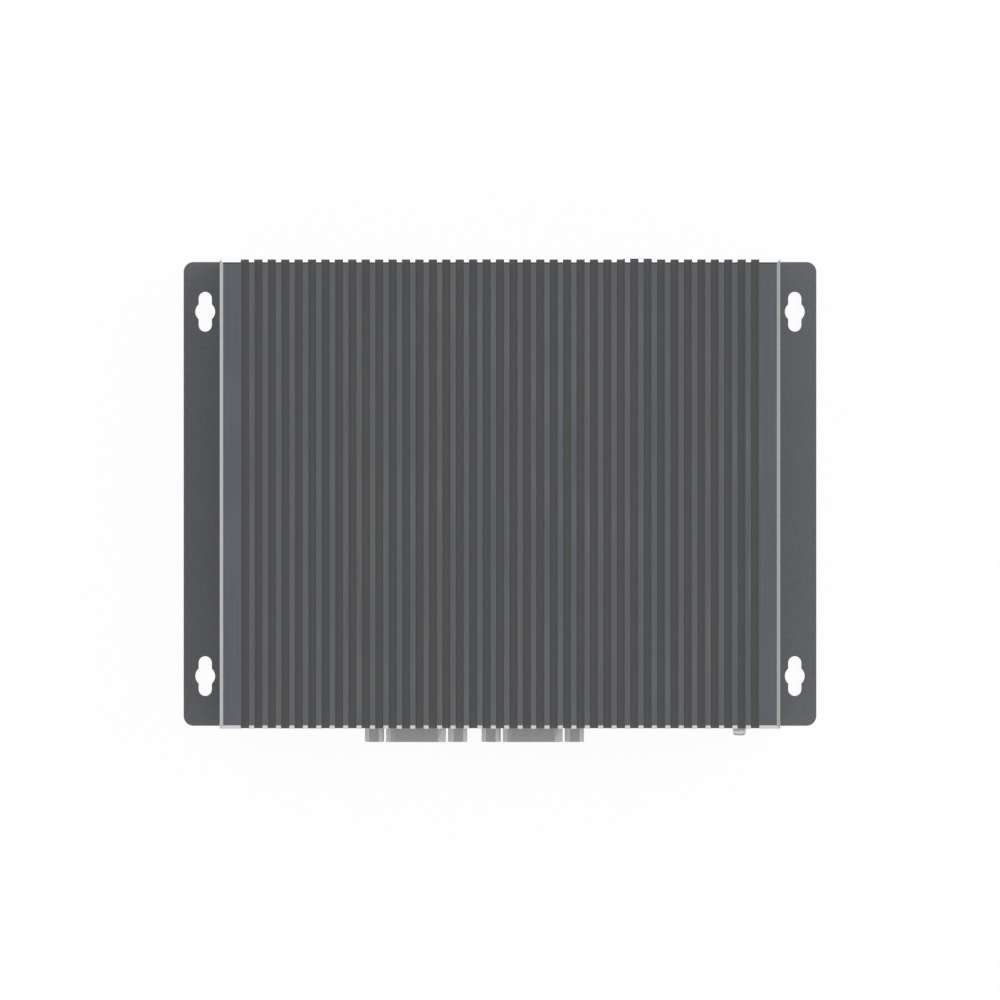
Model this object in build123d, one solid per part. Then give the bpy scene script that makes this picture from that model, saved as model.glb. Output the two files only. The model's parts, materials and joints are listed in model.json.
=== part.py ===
from build123d import *
import os
from math import cos, floor, radians, sqrt, tan

# Fanless edge computer in a flat metal case, for a wall, a cabinet plate or a desk.
# A finned aluminium cover, extruded with its side walls, closes a folded steel tray. The tray's base runs
# out left and right as flanges with keyholes, and its front and rear walls carry the sockets.
# Millimetres. +X right, +Y rear, +Z up. The origin is the centre of the base's underside.

# Case
BODY_W = 167.0  # over the cover's side walls
BODY_D = 140.0  # front wall to rear wall, outside
BODY_H = 50.0  # underside of the base to the fin tips
FLANGE_REACH = 12.0  # how far each mounting flange stands out past the cover
FLANGE_R = 3.0  # rounded flange corners
SHEET_T = 1.5  # steel of the tray
BEND_IN_R = 0.5  # inside radius of the tray's folds
RELIEF_W = 1.0  # notch at each end of a fold
CASE_GAP = 0.2  # between the tray's walls and the cover

# Finned cover
FIN_PITCH = 4.0
GROOVE_W = 2.5
GROOVE_DEPTH = 9.5
GROOVE_ROOT_R = 0.4
FIN_TIP_BREAK = 0.15  # small flat along each fin edge
EDGE_LAND = 6.0  # least flat land outside the last groove
CROWN_T = 4.0  # solid metal under the grooves
SIDE_T = 3.0  # side walls
RIM_CUT = 1.0  # bright chamfer round the top
RAIL_W = 8.0  # foot rail along each side wall, counted with the wall
RAIL_H = 8.0
CORNER_BOSS = 8.0  # square screw boss in each upper inside corner
INNER_R = 0.5  # drawn corners of the extrusion, inside

# Keyholes in the flanges
KEY_FROM_WALL = 5.5  # cover's side wall to the keyhole's centre
KEY_FROM_END = 15.0  # front or rear edge to the keyhole's centre
KEY_HEAD_R = 3.0
KEY_SLOT_W = 4.0
KEY_SLOT_REACH = 4.0  # keyhole's centre to the centre of each slot end

# Screws
SCREW_R = 1.5  # shank of the case and board screws
SCREW_GAP = 0.05  # shank to its hole
FLAT_HEAD_R = 2.7
FLAT_HEAD_SINK = 0.05  # countersunk head below the sheet's face
COVER_SCREW_L = 7.0
COVER_SCREW_FROM_END = 15.0  # front or rear edge to the outer cover screws
PANEL_SCREW_L = 8.0
PAN_HEAD_R = 2.7
PAN_HEAD_H = 1.8
BOARD_SCREW_L = 6.0
SMALL_SCREW_R = 1.0  # shank of the module and storage screws
SMALL_HEAD_R = 1.9
SMALL_HEAD_H = 1.3
CAP_HEAD_R = 2.75
CAP_HEAD_H = 3.0
CAP_HEAD_ROOM = 0.25
BLIND_END = 1.0  # tapped hole past the screw's tip, and solid left under a post's hole
CROSS_SPAN = 2.9  # cross recess in the case and board screws, over its wings
CROSS_WING = 0.8
CROSS_DEPTH = 1.3
CROSS_BOTTOM = 1.3  # over its wings at the bottom
SMALL_CROSS_SPAN = 1.9
SMALL_CROSS_WING = 0.5
SMALL_CROSS_DEPTH = 0.8
SMALL_CROSS_BOTTOM = 0.9
KEY_SOCKET_FLATS = 2.5  # hexagon socket of the spreader screws
KEY_SOCKET_DEPTH = 1.6

# Carrier board on standoffs
STANDOFF_H = 9.0
STANDOFF_R = 2.8
SPIGOT_R = 2.1  # the standoff's end, pressed into the base
BOARD_T = 1.6
BOARD_SIDE_GAP = 5.5  # to the cover's side walls
BOARD_END_GAP = 1.0  # to the tray's walls
BOARD_R = 2.0
BOARD_HOLE_FROM_SIDE = 5.0
BOARD_HOLE_FROM_END = 19.5
SEAT_GAP = 0.05  # a part lying on another

# Compute module, its socket and its heat path
MODULE_W = 69.6
MODULE_D = 45.0
MODULE_T = 1.2
MODULE_Y = 6.5
MODULE_LIFT = 5.0  # board to module
MODULE_HOLE_INSET = 3.8
POST_R = 2.2
SOCKET_SIDE = 2.0
SOCKET_D = 7.5
SOCKET_ROOF = 1.75  # plastic over the gripped edge
SOCKET_GRIP = 3.2  # how far the module's edge sits in the socket
SLIT_GAP = 0.1  # round a board's edge in its socket
CHIP_W = 31.0
CHIP_T = 1.9
SUBSTRATE_T = 0.7
LID_INSET = 1.5
LID_R = 1.0
MEMORY_W = 11.0
MEMORY_D = 14.0
MEMORY_T = 1.0
MEMORY_FROM_CHIP = 4.0
PAD_T = 1.0
SPREADER_W = 60.0
SPREADER_D = 40.0
SPREADER_CUT = 2.0  # bevelled upright edges
SPREADER_SCREW_INSET = 5.0
SPREADER_BITE = 3.0  # screw length in the cover's crown

# Storage card
CARD_L = 80.0
CARD_W = 22.0
CARD_T = 0.8
CARD_LIFT = 3.0
CARD_FROM_SIDE = 15.0  # board's left edge to the card
CARD_FROM_END = 27.5  # board's front edge to the card's middle
CARD_SOCKET_L = 8.7
CARD_SOCKET_SIDE = 0.5
CARD_SOCKET_ROOF = 1.1
CARD_GRIP = 2.7
CARD_CHIP_L = 14.0
CARD_CHIP_W = 18.0
CARD_CHIP_T = 1.2
CARD_CHIP_PITCH = 19.0
CARD_CHIPS = 3
CARD_FIRST_CHIP = 18.0  # card's socket end to the first chip's middle

# Clock battery
CELL_R = 10.0
CELL_H = 3.2
CELL_EDGE = 0.4
CELL_X = 45.0
CELL_FROM_END = 29.5  # board's front edge to the cell's middle
CELL_GAP = 0.15
HOLDER_WALL = 1.6
HOLDER_FLOOR = 1.4
HOLDER_NOTCH = 10.0  # finger gap in the holder's wall

# Power parts on the board
COIL_W = 10.0
COIL_H = 5.0
COIL_R = 1.5
COIL_FROM_SIDE = 25.0  # board's right edge to the coils' middle
CAN_R = 4.0
CAN_H = 9.0
CAN_FROM_SIDE = 12.0
POWER_PITCH = 13.0
POWER_ROWS = 3
POWER_Y = 6.0

# Nine-pin serial ports in the front wall
SERIAL_X = (-25.2, 9.85)
SERIAL_REACH = 6.0  # flange face to the shell's rim
SERIAL_W = 18.0
SERIAL_H = 9.3
SERIAL_R = 2.85
SERIAL_SLOPE = 10.0  # degrees, sides lean in towards the narrow row
SERIAL_SKIN = 0.45
SERIAL_RIM_R = 0.15  # rounding of the shell's rim
SERIAL_LIP = 1.6  # flange past the shell, above and below
SERIAL_EAR = 2.9  # flange past each jackscrew's axis
SERIAL_FLANGE_T = 0.8
SERIAL_FLANGE_R = 1.0
SERIAL_EAR_D = 3.0
SERIAL_BODY_W = 19.5
SERIAL_BODY_D = 11.0
SERIAL_NOSE = 0.7  # insulator standing inside the shell
PORT_GAP = 0.3  # round each socket in its cut-out
PIN_R = 0.5
PIN_REACH = 4.6
PIN_ROOT = 3.0
PIN_TIP = 0.3
PIN_PITCH = 2.77
PIN_ROW_GAP = 2.84
WIDE_ROW_PINS = 5
NARROW_ROW_PINS = 4
JACK_SPAN = 24.99
JACK_FLATS = 5.0
JACK_HEX_L = 4.4
JACK_EDGE_CUT = 0.35
JACK_BORE_R = 1.13
JACK_STUD_R = 1.4
JACK_STUD_L = 4.9
JACK_TURNS = ((2.5, -5.0), (2.5, -2.5))  # degrees, as each was left when tightened

# Status light in the front wall
LIGHT_FROM_SIDE = 11.5  # case's right side to the light's axis
LIGHT_HEAD_R = 1.95
LIGHT_REACH = 2.7
LIGHT_ROUND = 1.0
LIGHT_BASE_ROUND = 0.3
LIGHT_STEM_R = 1.4
LIGHT_STEM_L = 8.0
LIGHT_OVER_BOARD = 1.9
LED_GAP = 0.2
LED_W = 3.2
LED_D = 1.8
LED_H = 3.0

# Power button in the rear wall
BUTTON_X = 41.7
BUTTON_OVER_BOARD = 6.9
BUTTON_R = 4.9
BUTTON_REACH = 0.6
BUTTON_ROUND = 0.25
BUTTON_GAP = 0.2
BUTTON_COLLAR = 1.0
BUTTON_COLLAR_T = 0.8
BUTTON_STEM_R = 2.0
BUTTON_STEM_L = 1.2
BUTTON_TRAVEL = 0.5
PLUNGER_R = 1.6
PLUNGER_L = 3.0
PLUNGER_OUT = 1.5  # plunger showing between the stem and the switch
PLUNGER_GAP = 0.05
SWITCH_W = 12.0
SWITCH_D = 6.5
SWITCH_H = 12.0
SWITCH_R = 0.8

# Double data ports, one in each wall
DATA_FRONT_X = -60.0
DATA_REAR_X = -2.0
DATA_D = 17.8
DATA_SKIN = 0.4
DATA_CHEEK = 0.8  # shell past the mouths, left and right
DATA_BROW = 1.5  # shell past the mouths, above and below
DATA_MOUTH_W = 12.6
DATA_MOUTH_H = 5.2
DATA_MOUTH_D = 11.0
DATA_PITCH = 7.4
LEAF_W = 1.6  # leaf springs bent in from the lining of each mouth
LEAF_T = 0.2
LEAF_X = 3.2  # mouth's middle to each leaf's middle
LEAF_START = 2.0
LEAF_CREST = 5.0
LEAF_END = 7.0
LEAF_BULGE = 0.5
LEAF_LIFT = 0.3  # how far the free end stays off the lining
LEAF_BEND = 1.5
TONGUE_SIDE = 0.75  # free space beside the tongue
TONGUE_TOP = 0.8  # free space over the tongue
TONGUE_T = 1.8
TONGUE_BACK = 1.4  # tongue's tip behind the shell's face
STRIP_W = 1.0
STRIP_T = 0.15
STRIP_L = 7.0
STRIP_BACK = 1.0  # strip's end behind the tongue's tip
STRIP_X = (-3.5, -1.0, 1.0, 3.5)

# Network jacks in the rear wall
NET_X = (-46.0, -26.0)
NET_D = 21.0
NET_SKIN = 0.4
NET_RIM = 1.2  # shell's frame round the front
NET_MOUTH_W = 11.8
NET_MOUTH_H = 6.9
NET_MOUTH_D = 12.0
NET_CHEEK = 2.05  # jack past the mouth, left and right
NET_ROOF = 2.75
NET_SILL = 1.85  # board to the latch groove
NET_LATCH_W = 6.2
NET_LATCH_H = 1.9
NET_LIGHT_W = 2.8
NET_LIGHT_H = 1.0
NET_LIGHT_D = 2.5
NET_LIGHT_OVER = 0.25  # mouth's roof to the link lights
SPRING_W = 0.45
SPRING_T = 0.3
SPRING_PITCH = 1.02
SPRINGS = 8
SPRING_START = 2.0  # mouth's face to the spring's front end
SPRING_FLAT = 1.5
SPRING_DROP = 1.9
SPRING_BEND = 0.6

# Display socket in the rear wall
SCREEN_X = 20.0
SCREEN_W = 15.0
SCREEN_H = 6.0
SCREEN_D = 12.0
SCREEN_SKIN = 0.4
SCREEN_CORNER = 1.6  # the two lower corners are cut off
SCREEN_MOUTH_D = 8.0
SCREEN_TONGUE_SIDE = 1.35
SCREEN_TONGUE_T = 1.6
SCREEN_TONGUE_BACK = 1.2
SCREEN_STRIPS = 10  # contacts on each side of the tongue
SCREEN_STRIP_PITCH = 1.0
SCREEN_STRIP_W = 0.5
SCREEN_STRIP_T = 0.12
SCREEN_STRIP_L = 5.0

# Direct-current inlet in the rear wall
INLET_X = 60.0
INLET_W = 9.0
INLET_H = 11.0
INLET_D = 14.0
INLET_BORE_R = 3.15
INLET_NOSE_WALL = 0.95
INLET_BORE_D = 9.5
INLET_PIN_R = 1.05
INLET_PIN_L = 8.5
INLET_PIN_ROOT = 2.0
INLET_PIN_TIP = 0.3

SOCKET_PROUD = 0.3  # rear sockets and data ports stand this far out of their wall
PAST = 1.0  # a cutting shape runs this far past the face that it opens

# Places worked out from the sizes above
FRONT, REAR = -1, 1
WALL_OUT = BODY_D / 2
WALL_IN = WALL_OUT - SHEET_T
INSIDE_W = BODY_W - 2 * SIDE_T
TRAY_WALL_W = INSIDE_W - 2 * CASE_GAP
RUN_D = 2 * (WALL_IN - BEND_IN_R - CASE_GAP)  # rails and bosses stop short of the tray's folds
COVER_UNDER = BODY_H - GROOVE_DEPTH - CROWN_T
TRAY_TOP = COVER_UNDER - CASE_GAP
KEY_X = BODY_W / 2 + KEY_FROM_WALL
KEY_Y = WALL_OUT - KEY_FROM_END
RAIL_X = BODY_W / 2 - RAIL_W / 2
BOSS_X = INSIDE_W / 2 - CORNER_BOSS / 2
BOSS_Z = COVER_UNDER - CORNER_BOSS / 2
COVER_SCREW_Y = WALL_OUT - COVER_SCREW_FROM_END
SCREW_HOLE_R = SCREW_R + SCREW_GAP
SMALL_HOLE_R = SMALL_SCREW_R + SCREW_GAP
JACK_HOLE_R = JACK_STUD_R + SCREW_GAP
BOARD_W = INSIDE_W - 2 * BOARD_SIDE_GAP
BOARD_D = 2 * (WALL_IN - BOARD_END_GAP)
BOARD_Z = SHEET_T + STANDOFF_H
BOARD_TOP = BOARD_Z + BOARD_T
ON_BOARD = BOARD_TOP + SEAT_GAP
BOARD_HOLE_X = BOARD_W / 2 - BOARD_HOLE_FROM_SIDE
BOARD_HOLE_Y = BOARD_D / 2 - BOARD_HOLE_FROM_END
MODULE_Z = BOARD_TOP + MODULE_LIFT
MODULE_TOP = MODULE_Z + MODULE_T
MODULE_FRONT = MODULE_Y - MODULE_D / 2
PAD_Z = MODULE_TOP + CHIP_T
SPREADER_Z = PAD_Z + PAD_T
CARD_X = CARD_FROM_SIDE - BOARD_W / 2
CARD_Y = CARD_FROM_END - BOARD_D / 2
CELL_Y = CELL_FROM_END - BOARD_D / 2
CARD_Z = BOARD_TOP + CARD_LIFT
CARD_TOP = CARD_Z + CARD_T
SERIAL_FLANGE_W = JACK_SPAN + 2 * SERIAL_EAR
SERIAL_FLANGE_H = SERIAL_H + 2 * SERIAL_LIP
SERIAL_Z = ON_BOARD + SERIAL_FLANGE_H / 2
LIGHT_X = BODY_W / 2 - LIGHT_FROM_SIDE
LIGHT_Z = BOARD_TOP + LIGHT_OVER_BOARD
BUTTON_Z = BOARD_TOP + BUTTON_OVER_BOARD
DATA_W = DATA_MOUTH_W + 2 * DATA_CHEEK
DATA_H = DATA_PITCH + DATA_MOUTH_H + 2 * DATA_BROW
DATA_Z = ON_BOARD + DATA_H / 2
NET_W = NET_MOUTH_W + 2 * NET_CHEEK
NET_H = NET_SILL + NET_LATCH_H + NET_MOUTH_H + NET_ROOF
NET_Z = ON_BOARD + NET_H / 2
NET_MOUTH_Z = ON_BOARD + NET_SILL + NET_LATCH_H + NET_MOUTH_H / 2
SCREEN_Z = ON_BOARD + SCREEN_H / 2
INLET_Z = ON_BOARD + INLET_H / 2
INLET_NOSE_R = INLET_BORE_R + INLET_NOSE_WALL
MIN3 = (Align.MIN, Align.MIN, Align.MIN)
HANG = (Align.CENTER, Align.CENTER, Align.MAX)


# Building helpers
def block(x, y, z):
    """A box between three pairs of limits."""
    lows = [min(pair) for pair in (x, y, z)]
    spans = [abs(pair[1] - pair[0]) for pair in (x, y, z)]
    return Pos(*lows) * Box(*spans, align=MIN3)


def raised(profile, z_low, z_high):
    """A flat profile, drawn looking down, raised from one height to another."""
    return extrude(Pos(0, 0, z_low) * profile, amount=z_high - z_low)


def carried_y(profile, y_one, y_two):
    """A profile drawn in X and Z, carried along Y between two places."""
    section = Plane(origin=(0, max(y_one, y_two), 0), x_dir=(1, 0, 0), z_dir=(0, -1, 0))
    return extrude(section * profile, amount=abs(y_two - y_one))


def carried_x(profile, x_low, x_high):
    """A profile drawn in Y and Z, carried along X between two places."""
    section = Plane(origin=(x_low, 0, 0), x_dir=(0, 1, 0), z_dir=(1, 0, 0))
    return extrude(section * profile, amount=x_high - x_low)


def upright_rod(radius, x, y, z_low, z_high):
    """A round bar standing up."""
    return raised(Pos(x, y) * Circle(radius), z_low, z_high)


def lying_rod(radius, x, z, y_one, y_two):
    """A round bar lying front to rear."""
    return carried_y(Pos(x, z) * Circle(radius), y_one, y_two)


def four_corners(x, y):
    """The four points at plus and minus x and y."""
    return [(sx * x, sy * y) for sx in (-1, 1) for sy in (-1, 1)]


def behind_face(side, depth):
    """Y at a depth behind the face of a socket in the front or rear wall."""
    return side * (WALL_OUT + SOCKET_PROUD - depth)


# Screws, drawn with the head's seat or outer face at the origin and the shank along -Z
def cross_recess(span, wing, depth, bottom):
    """The cross for the driver, cut down from the origin: two wings that narrow towards the bottom."""
    side_view = Polygon((-span / 2, 0), (-bottom / 2, -depth), (bottom / 2, -depth), (span / 2, 0), align=None)
    blade = carried_y(side_view, -wing / 2, wing / 2)
    return blade + Rot(0, 0, 90) * blade


def flat_head_screw(length):
    """Countersunk screw with a cross recess, its length counted with the head."""
    cone_h = FLAT_HEAD_R - SCREW_R
    screw = Cone(SCREW_R, FLAT_HEAD_R, cone_h, align=HANG) + upright_rod(SCREW_R, 0, 0, -length, -cone_h)
    return screw - cross_recess(CROSS_SPAN, CROSS_WING, CROSS_DEPTH, CROSS_BOTTOM)


def flat_head_seat(depth):
    """The countersunk hole that a flat head screw sits in."""
    reach = FLAT_HEAD_R - SCREW_R + FLAT_HEAD_SINK
    mouth_r = FLAT_HEAD_R + FLAT_HEAD_SINK + SCREW_GAP
    cone = Cone(SCREW_HOLE_R, mouth_r, reach, align=HANG)
    return cone + upright_rod(SCREW_HOLE_R, 0, 0, -depth, -reach)


def headed_screw(shank_r, head_r, head_h, length):
    """Screw with a plain round head standing on its seat."""
    return upright_rod(head_r, 0, 0, 0, head_h) + upright_rod(shank_r, 0, 0, -length, 0)


def cover_screw_places():
    """Frames of the screws that go up through the base into the cover's rails."""
    rows = (-COVER_SCREW_Y, 0, COVER_SCREW_Y)
    return [Pos(sx * RAIL_X, y, 0) * Rot(180, 0, 0) for sx in (-1, 1) for y in rows]


def panel_screw_places():
    """Frames of the screws that go through the front and rear walls into the corner bosses."""
    return [
        Pos(sx * BOSS_X, side * WALL_OUT, BOSS_Z) * Rot(-90 * side, 0, 0)
        for sx in (-1, 1)
        for side in (FRONT, REAR)
    ]


# Case
def keyhole():
    """A round hole for the screw's head with a slot for its shank at each end."""
    return Circle(KEY_HEAD_R) + SlotCenterToCenter(2 * KEY_SLOT_REACH, KEY_SLOT_W, rotation=90)


def serial_outline(inset):
    """The D shape of a serial port's shell, wide side up, drawn about its middle."""
    r = SERIAL_R - inset
    height = SERIAL_H - 2 * inset
    slope = radians(SERIAL_SLOPE)
    top_half = SERIAL_W / 2 - inset + r * (tan(slope) + 1 / cos(slope) - 1)
    low_half = top_half - height * tan(slope)
    shape = Polygon(
        (-top_half, height / 2),
        (-low_half, -height / 2),
        (low_half, -height / 2),
        (top_half, height / 2),
        align=None,
    )
    return fillet(shape.vertices(), r)


def screen_outline(inset):
    """Display socket's section: a low box with its two lower corners cut off."""
    half_w, half_h = SCREEN_W / 2 - inset, SCREEN_H / 2 - inset
    cut = SCREEN_CORNER - inset * (2 - sqrt(2))
    return Polygon(
        (-half_w, half_h),
        (-half_w, cut - half_h),
        (cut - half_w, -half_h),
        (half_w - cut, -half_h),
        (half_w, cut - half_h),
        (half_w, half_h),
        align=None,
    )


def roomy(width, height):
    """The cut-out for a socket of this size."""
    return Rectangle(width + 2 * PORT_GAP, height + 2 * PORT_GAP)


def jack_xs(x):
    """X of the two jackscrews of a serial port."""
    return (x - JACK_SPAN / 2, x + JACK_SPAN / 2)


def front_cutouts():
    """Every socket's opening in the front wall, drawn in X and Z."""
    cuts = Pos(DATA_FRONT_X, DATA_Z) * roomy(DATA_W, DATA_H)
    cuts += Pos(LIGHT_X, LIGHT_Z) * Circle(LIGHT_STEM_R + SCREW_GAP)
    for x in SERIAL_X:
        cuts += Pos(x, SERIAL_Z) * serial_outline(-PORT_GAP)
        for jack_x in jack_xs(x):
            cuts += Pos(jack_x, SERIAL_Z) * Circle(JACK_HOLE_R)
    return cuts


def rear_cutouts():
    """Every socket's opening in the rear wall, drawn in X and Z."""
    cuts = Pos(DATA_REAR_X, DATA_Z) * roomy(DATA_W, DATA_H)
    cuts += Pos(BUTTON_X, BUTTON_Z) * Circle(BUTTON_R + BUTTON_GAP)
    cuts += Pos(SCREEN_X, SCREEN_Z) * roomy(SCREEN_W, SCREEN_H)
    cuts += Pos(INLET_X, INLET_Z) * Circle(INLET_NOSE_R + PORT_GAP)
    for x in NET_X:
        cuts += Pos(x, NET_Z) * roomy(NET_W, NET_H)
    return cuts


def folded_channel():
    """The tray's folded part: base and both walls in one bent strip."""
    outer = Pos(0, TRAY_TOP / 2) * Rectangle(BODY_D, TRAY_TOP)
    outer = fillet(outer.vertices().sort_by(Axis.Y)[:2], BEND_IN_R + SHEET_T)
    inner = Pos(0, SHEET_T + TRAY_TOP / 2) * Rectangle(2 * WALL_IN, TRAY_TOP)
    inner = fillet(inner.vertices().sort_by(Axis.Y)[:2], BEND_IN_R)
    return carried_x(outer - inner, -TRAY_WALL_W / 2, TRAY_WALL_W / 2)


def flange_plates():
    """The flat ends of the tray's base, with a relief notch beside each fold."""
    plates = RectangleRounded(BODY_W + 2 * FLANGE_REACH, BODY_D, FLANGE_R)
    plates -= Rectangle(TRAY_WALL_W, BODY_D)
    notch_d = BEND_IN_R + SHEET_T + RELIEF_W
    for x, y in four_corners((TRAY_WALL_W + RELIEF_W) / 2, WALL_OUT - notch_d / 2):
        plates -= Pos(x, y) * Rectangle(RELIEF_W, notch_d)
    for x, y in four_corners(KEY_X, KEY_Y):
        plates -= Pos(x, y) * keyhole()
    return raised(plates, 0, SHEET_T)


def base_tray():
    """Folded steel tray: base with keyhole flanges, and the front and rear walls."""
    tray = folded_channel() + flange_plates()
    for x, y in four_corners(BOARD_HOLE_X, BOARD_HOLE_Y):
        tray -= upright_rod(SPIGOT_R + SCREW_GAP, x, y, -PAST, SHEET_T + PAST)
    for place in cover_screw_places() + panel_screw_places():
        tray -= place * flat_head_seat(SHEET_T + PAST)
    tray -= carried_y(front_cutouts(), -WALL_OUT - PAST, -WALL_IN + PAST)
    return tray - carried_y(rear_cutouts(), WALL_IN - PAST, WALL_OUT + PAST)


def groove():
    """Section of one groove, open at the top, with broken fin edges and a rounded root."""
    half = GROOVE_W / 2
    floor_z = BODY_H - GROOVE_DEPTH
    root = GROOVE_ROOT_R
    lip = half + FIN_TIP_BREAK
    over = BODY_H + PAST
    outline = [
        Polyline((half - root, floor_z), (root - half, floor_z)),
        RadiusArc((root - half, floor_z), (-half, floor_z + root), root),
        Polyline(
            (-half, floor_z + root),
            (-half, BODY_H - FIN_TIP_BREAK),
            (-lip, BODY_H),
            (-lip, over),
            (lip, over),
            (lip, BODY_H),
            (half, BODY_H - FIN_TIP_BREAK),
            (half, floor_z + root),
        ),
        RadiusArc((half, floor_z + root), (half - root, floor_z), root),
    ]
    return make_face(Wire([edge for line in outline for edge in line.edges()]))


def groove_places():
    """X of each groove: as many as fit between the two edge lands, centred."""
    fin_t = FIN_PITCH - GROOVE_W
    count = floor((BODY_W - 2 * EDGE_LAND + fin_t) / FIN_PITCH)
    return [(i - (count - 1) / 2) * FIN_PITCH for i in range(count)]


def cover_section():
    """The extrusion's section without its grooves: crown, side walls, foot rails and corner bosses."""
    section = Pos(0, (SHEET_T + BODY_H) / 2) * Rectangle(BODY_W, BODY_H - SHEET_T)
    boss_low = COVER_UNDER - CORNER_BOSS
    rail_top = SHEET_T + RAIL_H
    wide, rail_in = INSIDE_W / 2, BODY_W / 2 - RAIL_W
    boss_in = wide - CORNER_BOSS
    room = Pos(0, (boss_low + rail_top) / 2) * Rectangle(2 * wide, boss_low - rail_top)
    room += Pos(0, (boss_low + COVER_UNDER) / 2) * Rectangle(2 * boss_in, COVER_UNDER - boss_low)
    room += Pos(0, rail_top / 2) * Rectangle(2 * rail_in, rail_top)
    corners = [v for v in room.vertices() if v.Y > SHEET_T]
    return section - fillet(corners, INNER_R)


def heatsink_cover():
    """Extruded cover: finned crown, side walls, foot rails and corner bosses in one piece."""
    cover = carried_y(cover_section(), -WALL_OUT, WALL_OUT)
    cover = chamfer(cover.faces().sort_by(Axis.Z)[-1].edges(), RIM_CUT)
    across = (-INSIDE_W / 2, INSIDE_W / 2)
    for side in (FRONT, REAR):
        cover -= block(across, (side * RUN_D / 2, side * (WALL_OUT + PAST)), (0, COVER_UNDER))
    section = groove()
    grooves = Sketch() + [Pos(x, 0) * section for x in groove_places()]
    cover -= carried_y(grooves, -WALL_OUT - PAST, WALL_OUT + PAST)
    for place in cover_screw_places():
        cover -= place * upright_rod(SCREW_HOLE_R, 0, 0, -COVER_SCREW_L - BLIND_END, 0)
    for place in panel_screw_places():
        cover -= place * upright_rod(SCREW_HOLE_R, 0, 0, -PANEL_SCREW_L - BLIND_END, 0)
    bite = COVER_UNDER + SPREADER_BITE + SEAT_GAP
    for x, y in spreader_screw_places():
        cover -= upright_rod(SCREW_HOLE_R, x, y, COVER_UNDER - PAST, bite)
    return cover


def cover_screws():
    """The six countersunk screws under the base."""
    sunk = Pos(0, 0, -FLAT_HEAD_SINK) * flat_head_screw(COVER_SCREW_L)
    return [place * sunk for place in cover_screw_places()]


def panel_screws():
    """The four countersunk screws in the front and rear walls."""
    sunk = Pos(0, 0, -FLAT_HEAD_SINK) * flat_head_screw(PANEL_SCREW_L)
    return [place * sunk for place in panel_screw_places()]


# Boards
def carrier_board():
    """The main circuit board."""
    board = RectangleRounded(BOARD_W, BOARD_D, BOARD_R)
    for x, y in four_corners(BOARD_HOLE_X, BOARD_HOLE_Y):
        board -= Pos(x, y) * Circle(SCREW_HOLE_R)
    return raised(board, BOARD_Z, BOARD_TOP)


def board_standoffs():
    """Four posts pressed into the base, tapped for the board's screws."""
    posts = []
    for x, y in four_corners(BOARD_HOLE_X, BOARD_HOLE_Y):
        post = upright_rod(STANDOFF_R, x, y, SHEET_T, BOARD_Z)
        post += upright_rod(SPIGOT_R, x, y, SEAT_GAP, SHEET_T)
        posts.append(post - upright_rod(SCREW_HOLE_R, x, y, SHEET_T + BLIND_END, BOARD_Z + PAST))
    return posts


def board_screws():
    """The four screws that hold the board down."""
    screw = headed_screw(SCREW_R, PAN_HEAD_R, PAN_HEAD_H, BOARD_SCREW_L)
    screw -= Pos(0, 0, PAN_HEAD_H) * cross_recess(CROSS_SPAN, CROSS_WING, CROSS_DEPTH, CROSS_BOTTOM)
    return [Pos(x, y, BOARD_TOP) * screw for x, y in four_corners(BOARD_HOLE_X, BOARD_HOLE_Y)]


def small_post(x, y, top):
    """A short post on the board, tapped for a small screw."""
    post = upright_rod(POST_R, x, y, BOARD_TOP, top)
    return post - upright_rod(SMALL_HOLE_R, x, y, BOARD_TOP + BLIND_END, top + PAST)


def small_screw(x, y, board_low, board_high):
    """The small screw that holds a board's edge on its post, reaching halfway down the post."""
    shank_l = board_high - (BOARD_TOP + board_low) / 2
    screw = headed_screw(SMALL_SCREW_R, SMALL_HEAD_R, SMALL_HEAD_H, shank_l)
    cross = cross_recess(SMALL_CROSS_SPAN, SMALL_CROSS_WING, SMALL_CROSS_DEPTH, SMALL_CROSS_BOTTOM)
    return Pos(x, y, board_high) * (screw - Pos(0, 0, SMALL_HEAD_H) * cross)


def edge_socket(x, y, board_low, board_high, roof, slit_x, slit_y):
    """A low socket block on the carrier board with a slit that takes another board's edge."""
    body = block(x, y, (ON_BOARD, board_high + SLIT_GAP + roof))
    return body - block(slit_x, slit_y, (board_low - SLIT_GAP, board_high + SLIT_GAP))


def module_hole_places():
    """Centres of the two holes at the module's free edge."""
    x = MODULE_W / 2 - MODULE_HOLE_INSET
    y = MODULE_Y + MODULE_D / 2 - MODULE_HOLE_INSET
    return [(-x, y), (x, y)]


def module_socket():
    """Edge socket that grips the compute module's front edge."""
    half_w = MODULE_W / 2
    back = MODULE_FRONT + SOCKET_GRIP
    return edge_socket(
        x=(-half_w - SOCKET_SIDE, half_w + SOCKET_SIDE),
        y=(back - SOCKET_D, back),
        board_low=MODULE_Z,
        board_high=MODULE_TOP,
        roof=SOCKET_ROOF,
        slit_x=(-half_w - SLIT_GAP, half_w + SLIT_GAP),
        slit_y=(MODULE_FRONT - SLIT_GAP, back + PAST),
    )


def module_board():
    """The compute module's own board."""
    board = Pos(0, MODULE_Y) * Rectangle(MODULE_W, MODULE_D)
    for x, y in module_hole_places():
        board -= Pos(x, y) * Circle(SMALL_HOLE_R)
    return raised(board, MODULE_Z, MODULE_TOP)


def lid_outline():
    """Outline of the processor's lid, which the thermal pad shares."""
    side = CHIP_W - 2 * LID_INSET
    return Pos(0, MODULE_Y) * RectangleRounded(side, side, LID_R)


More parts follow.
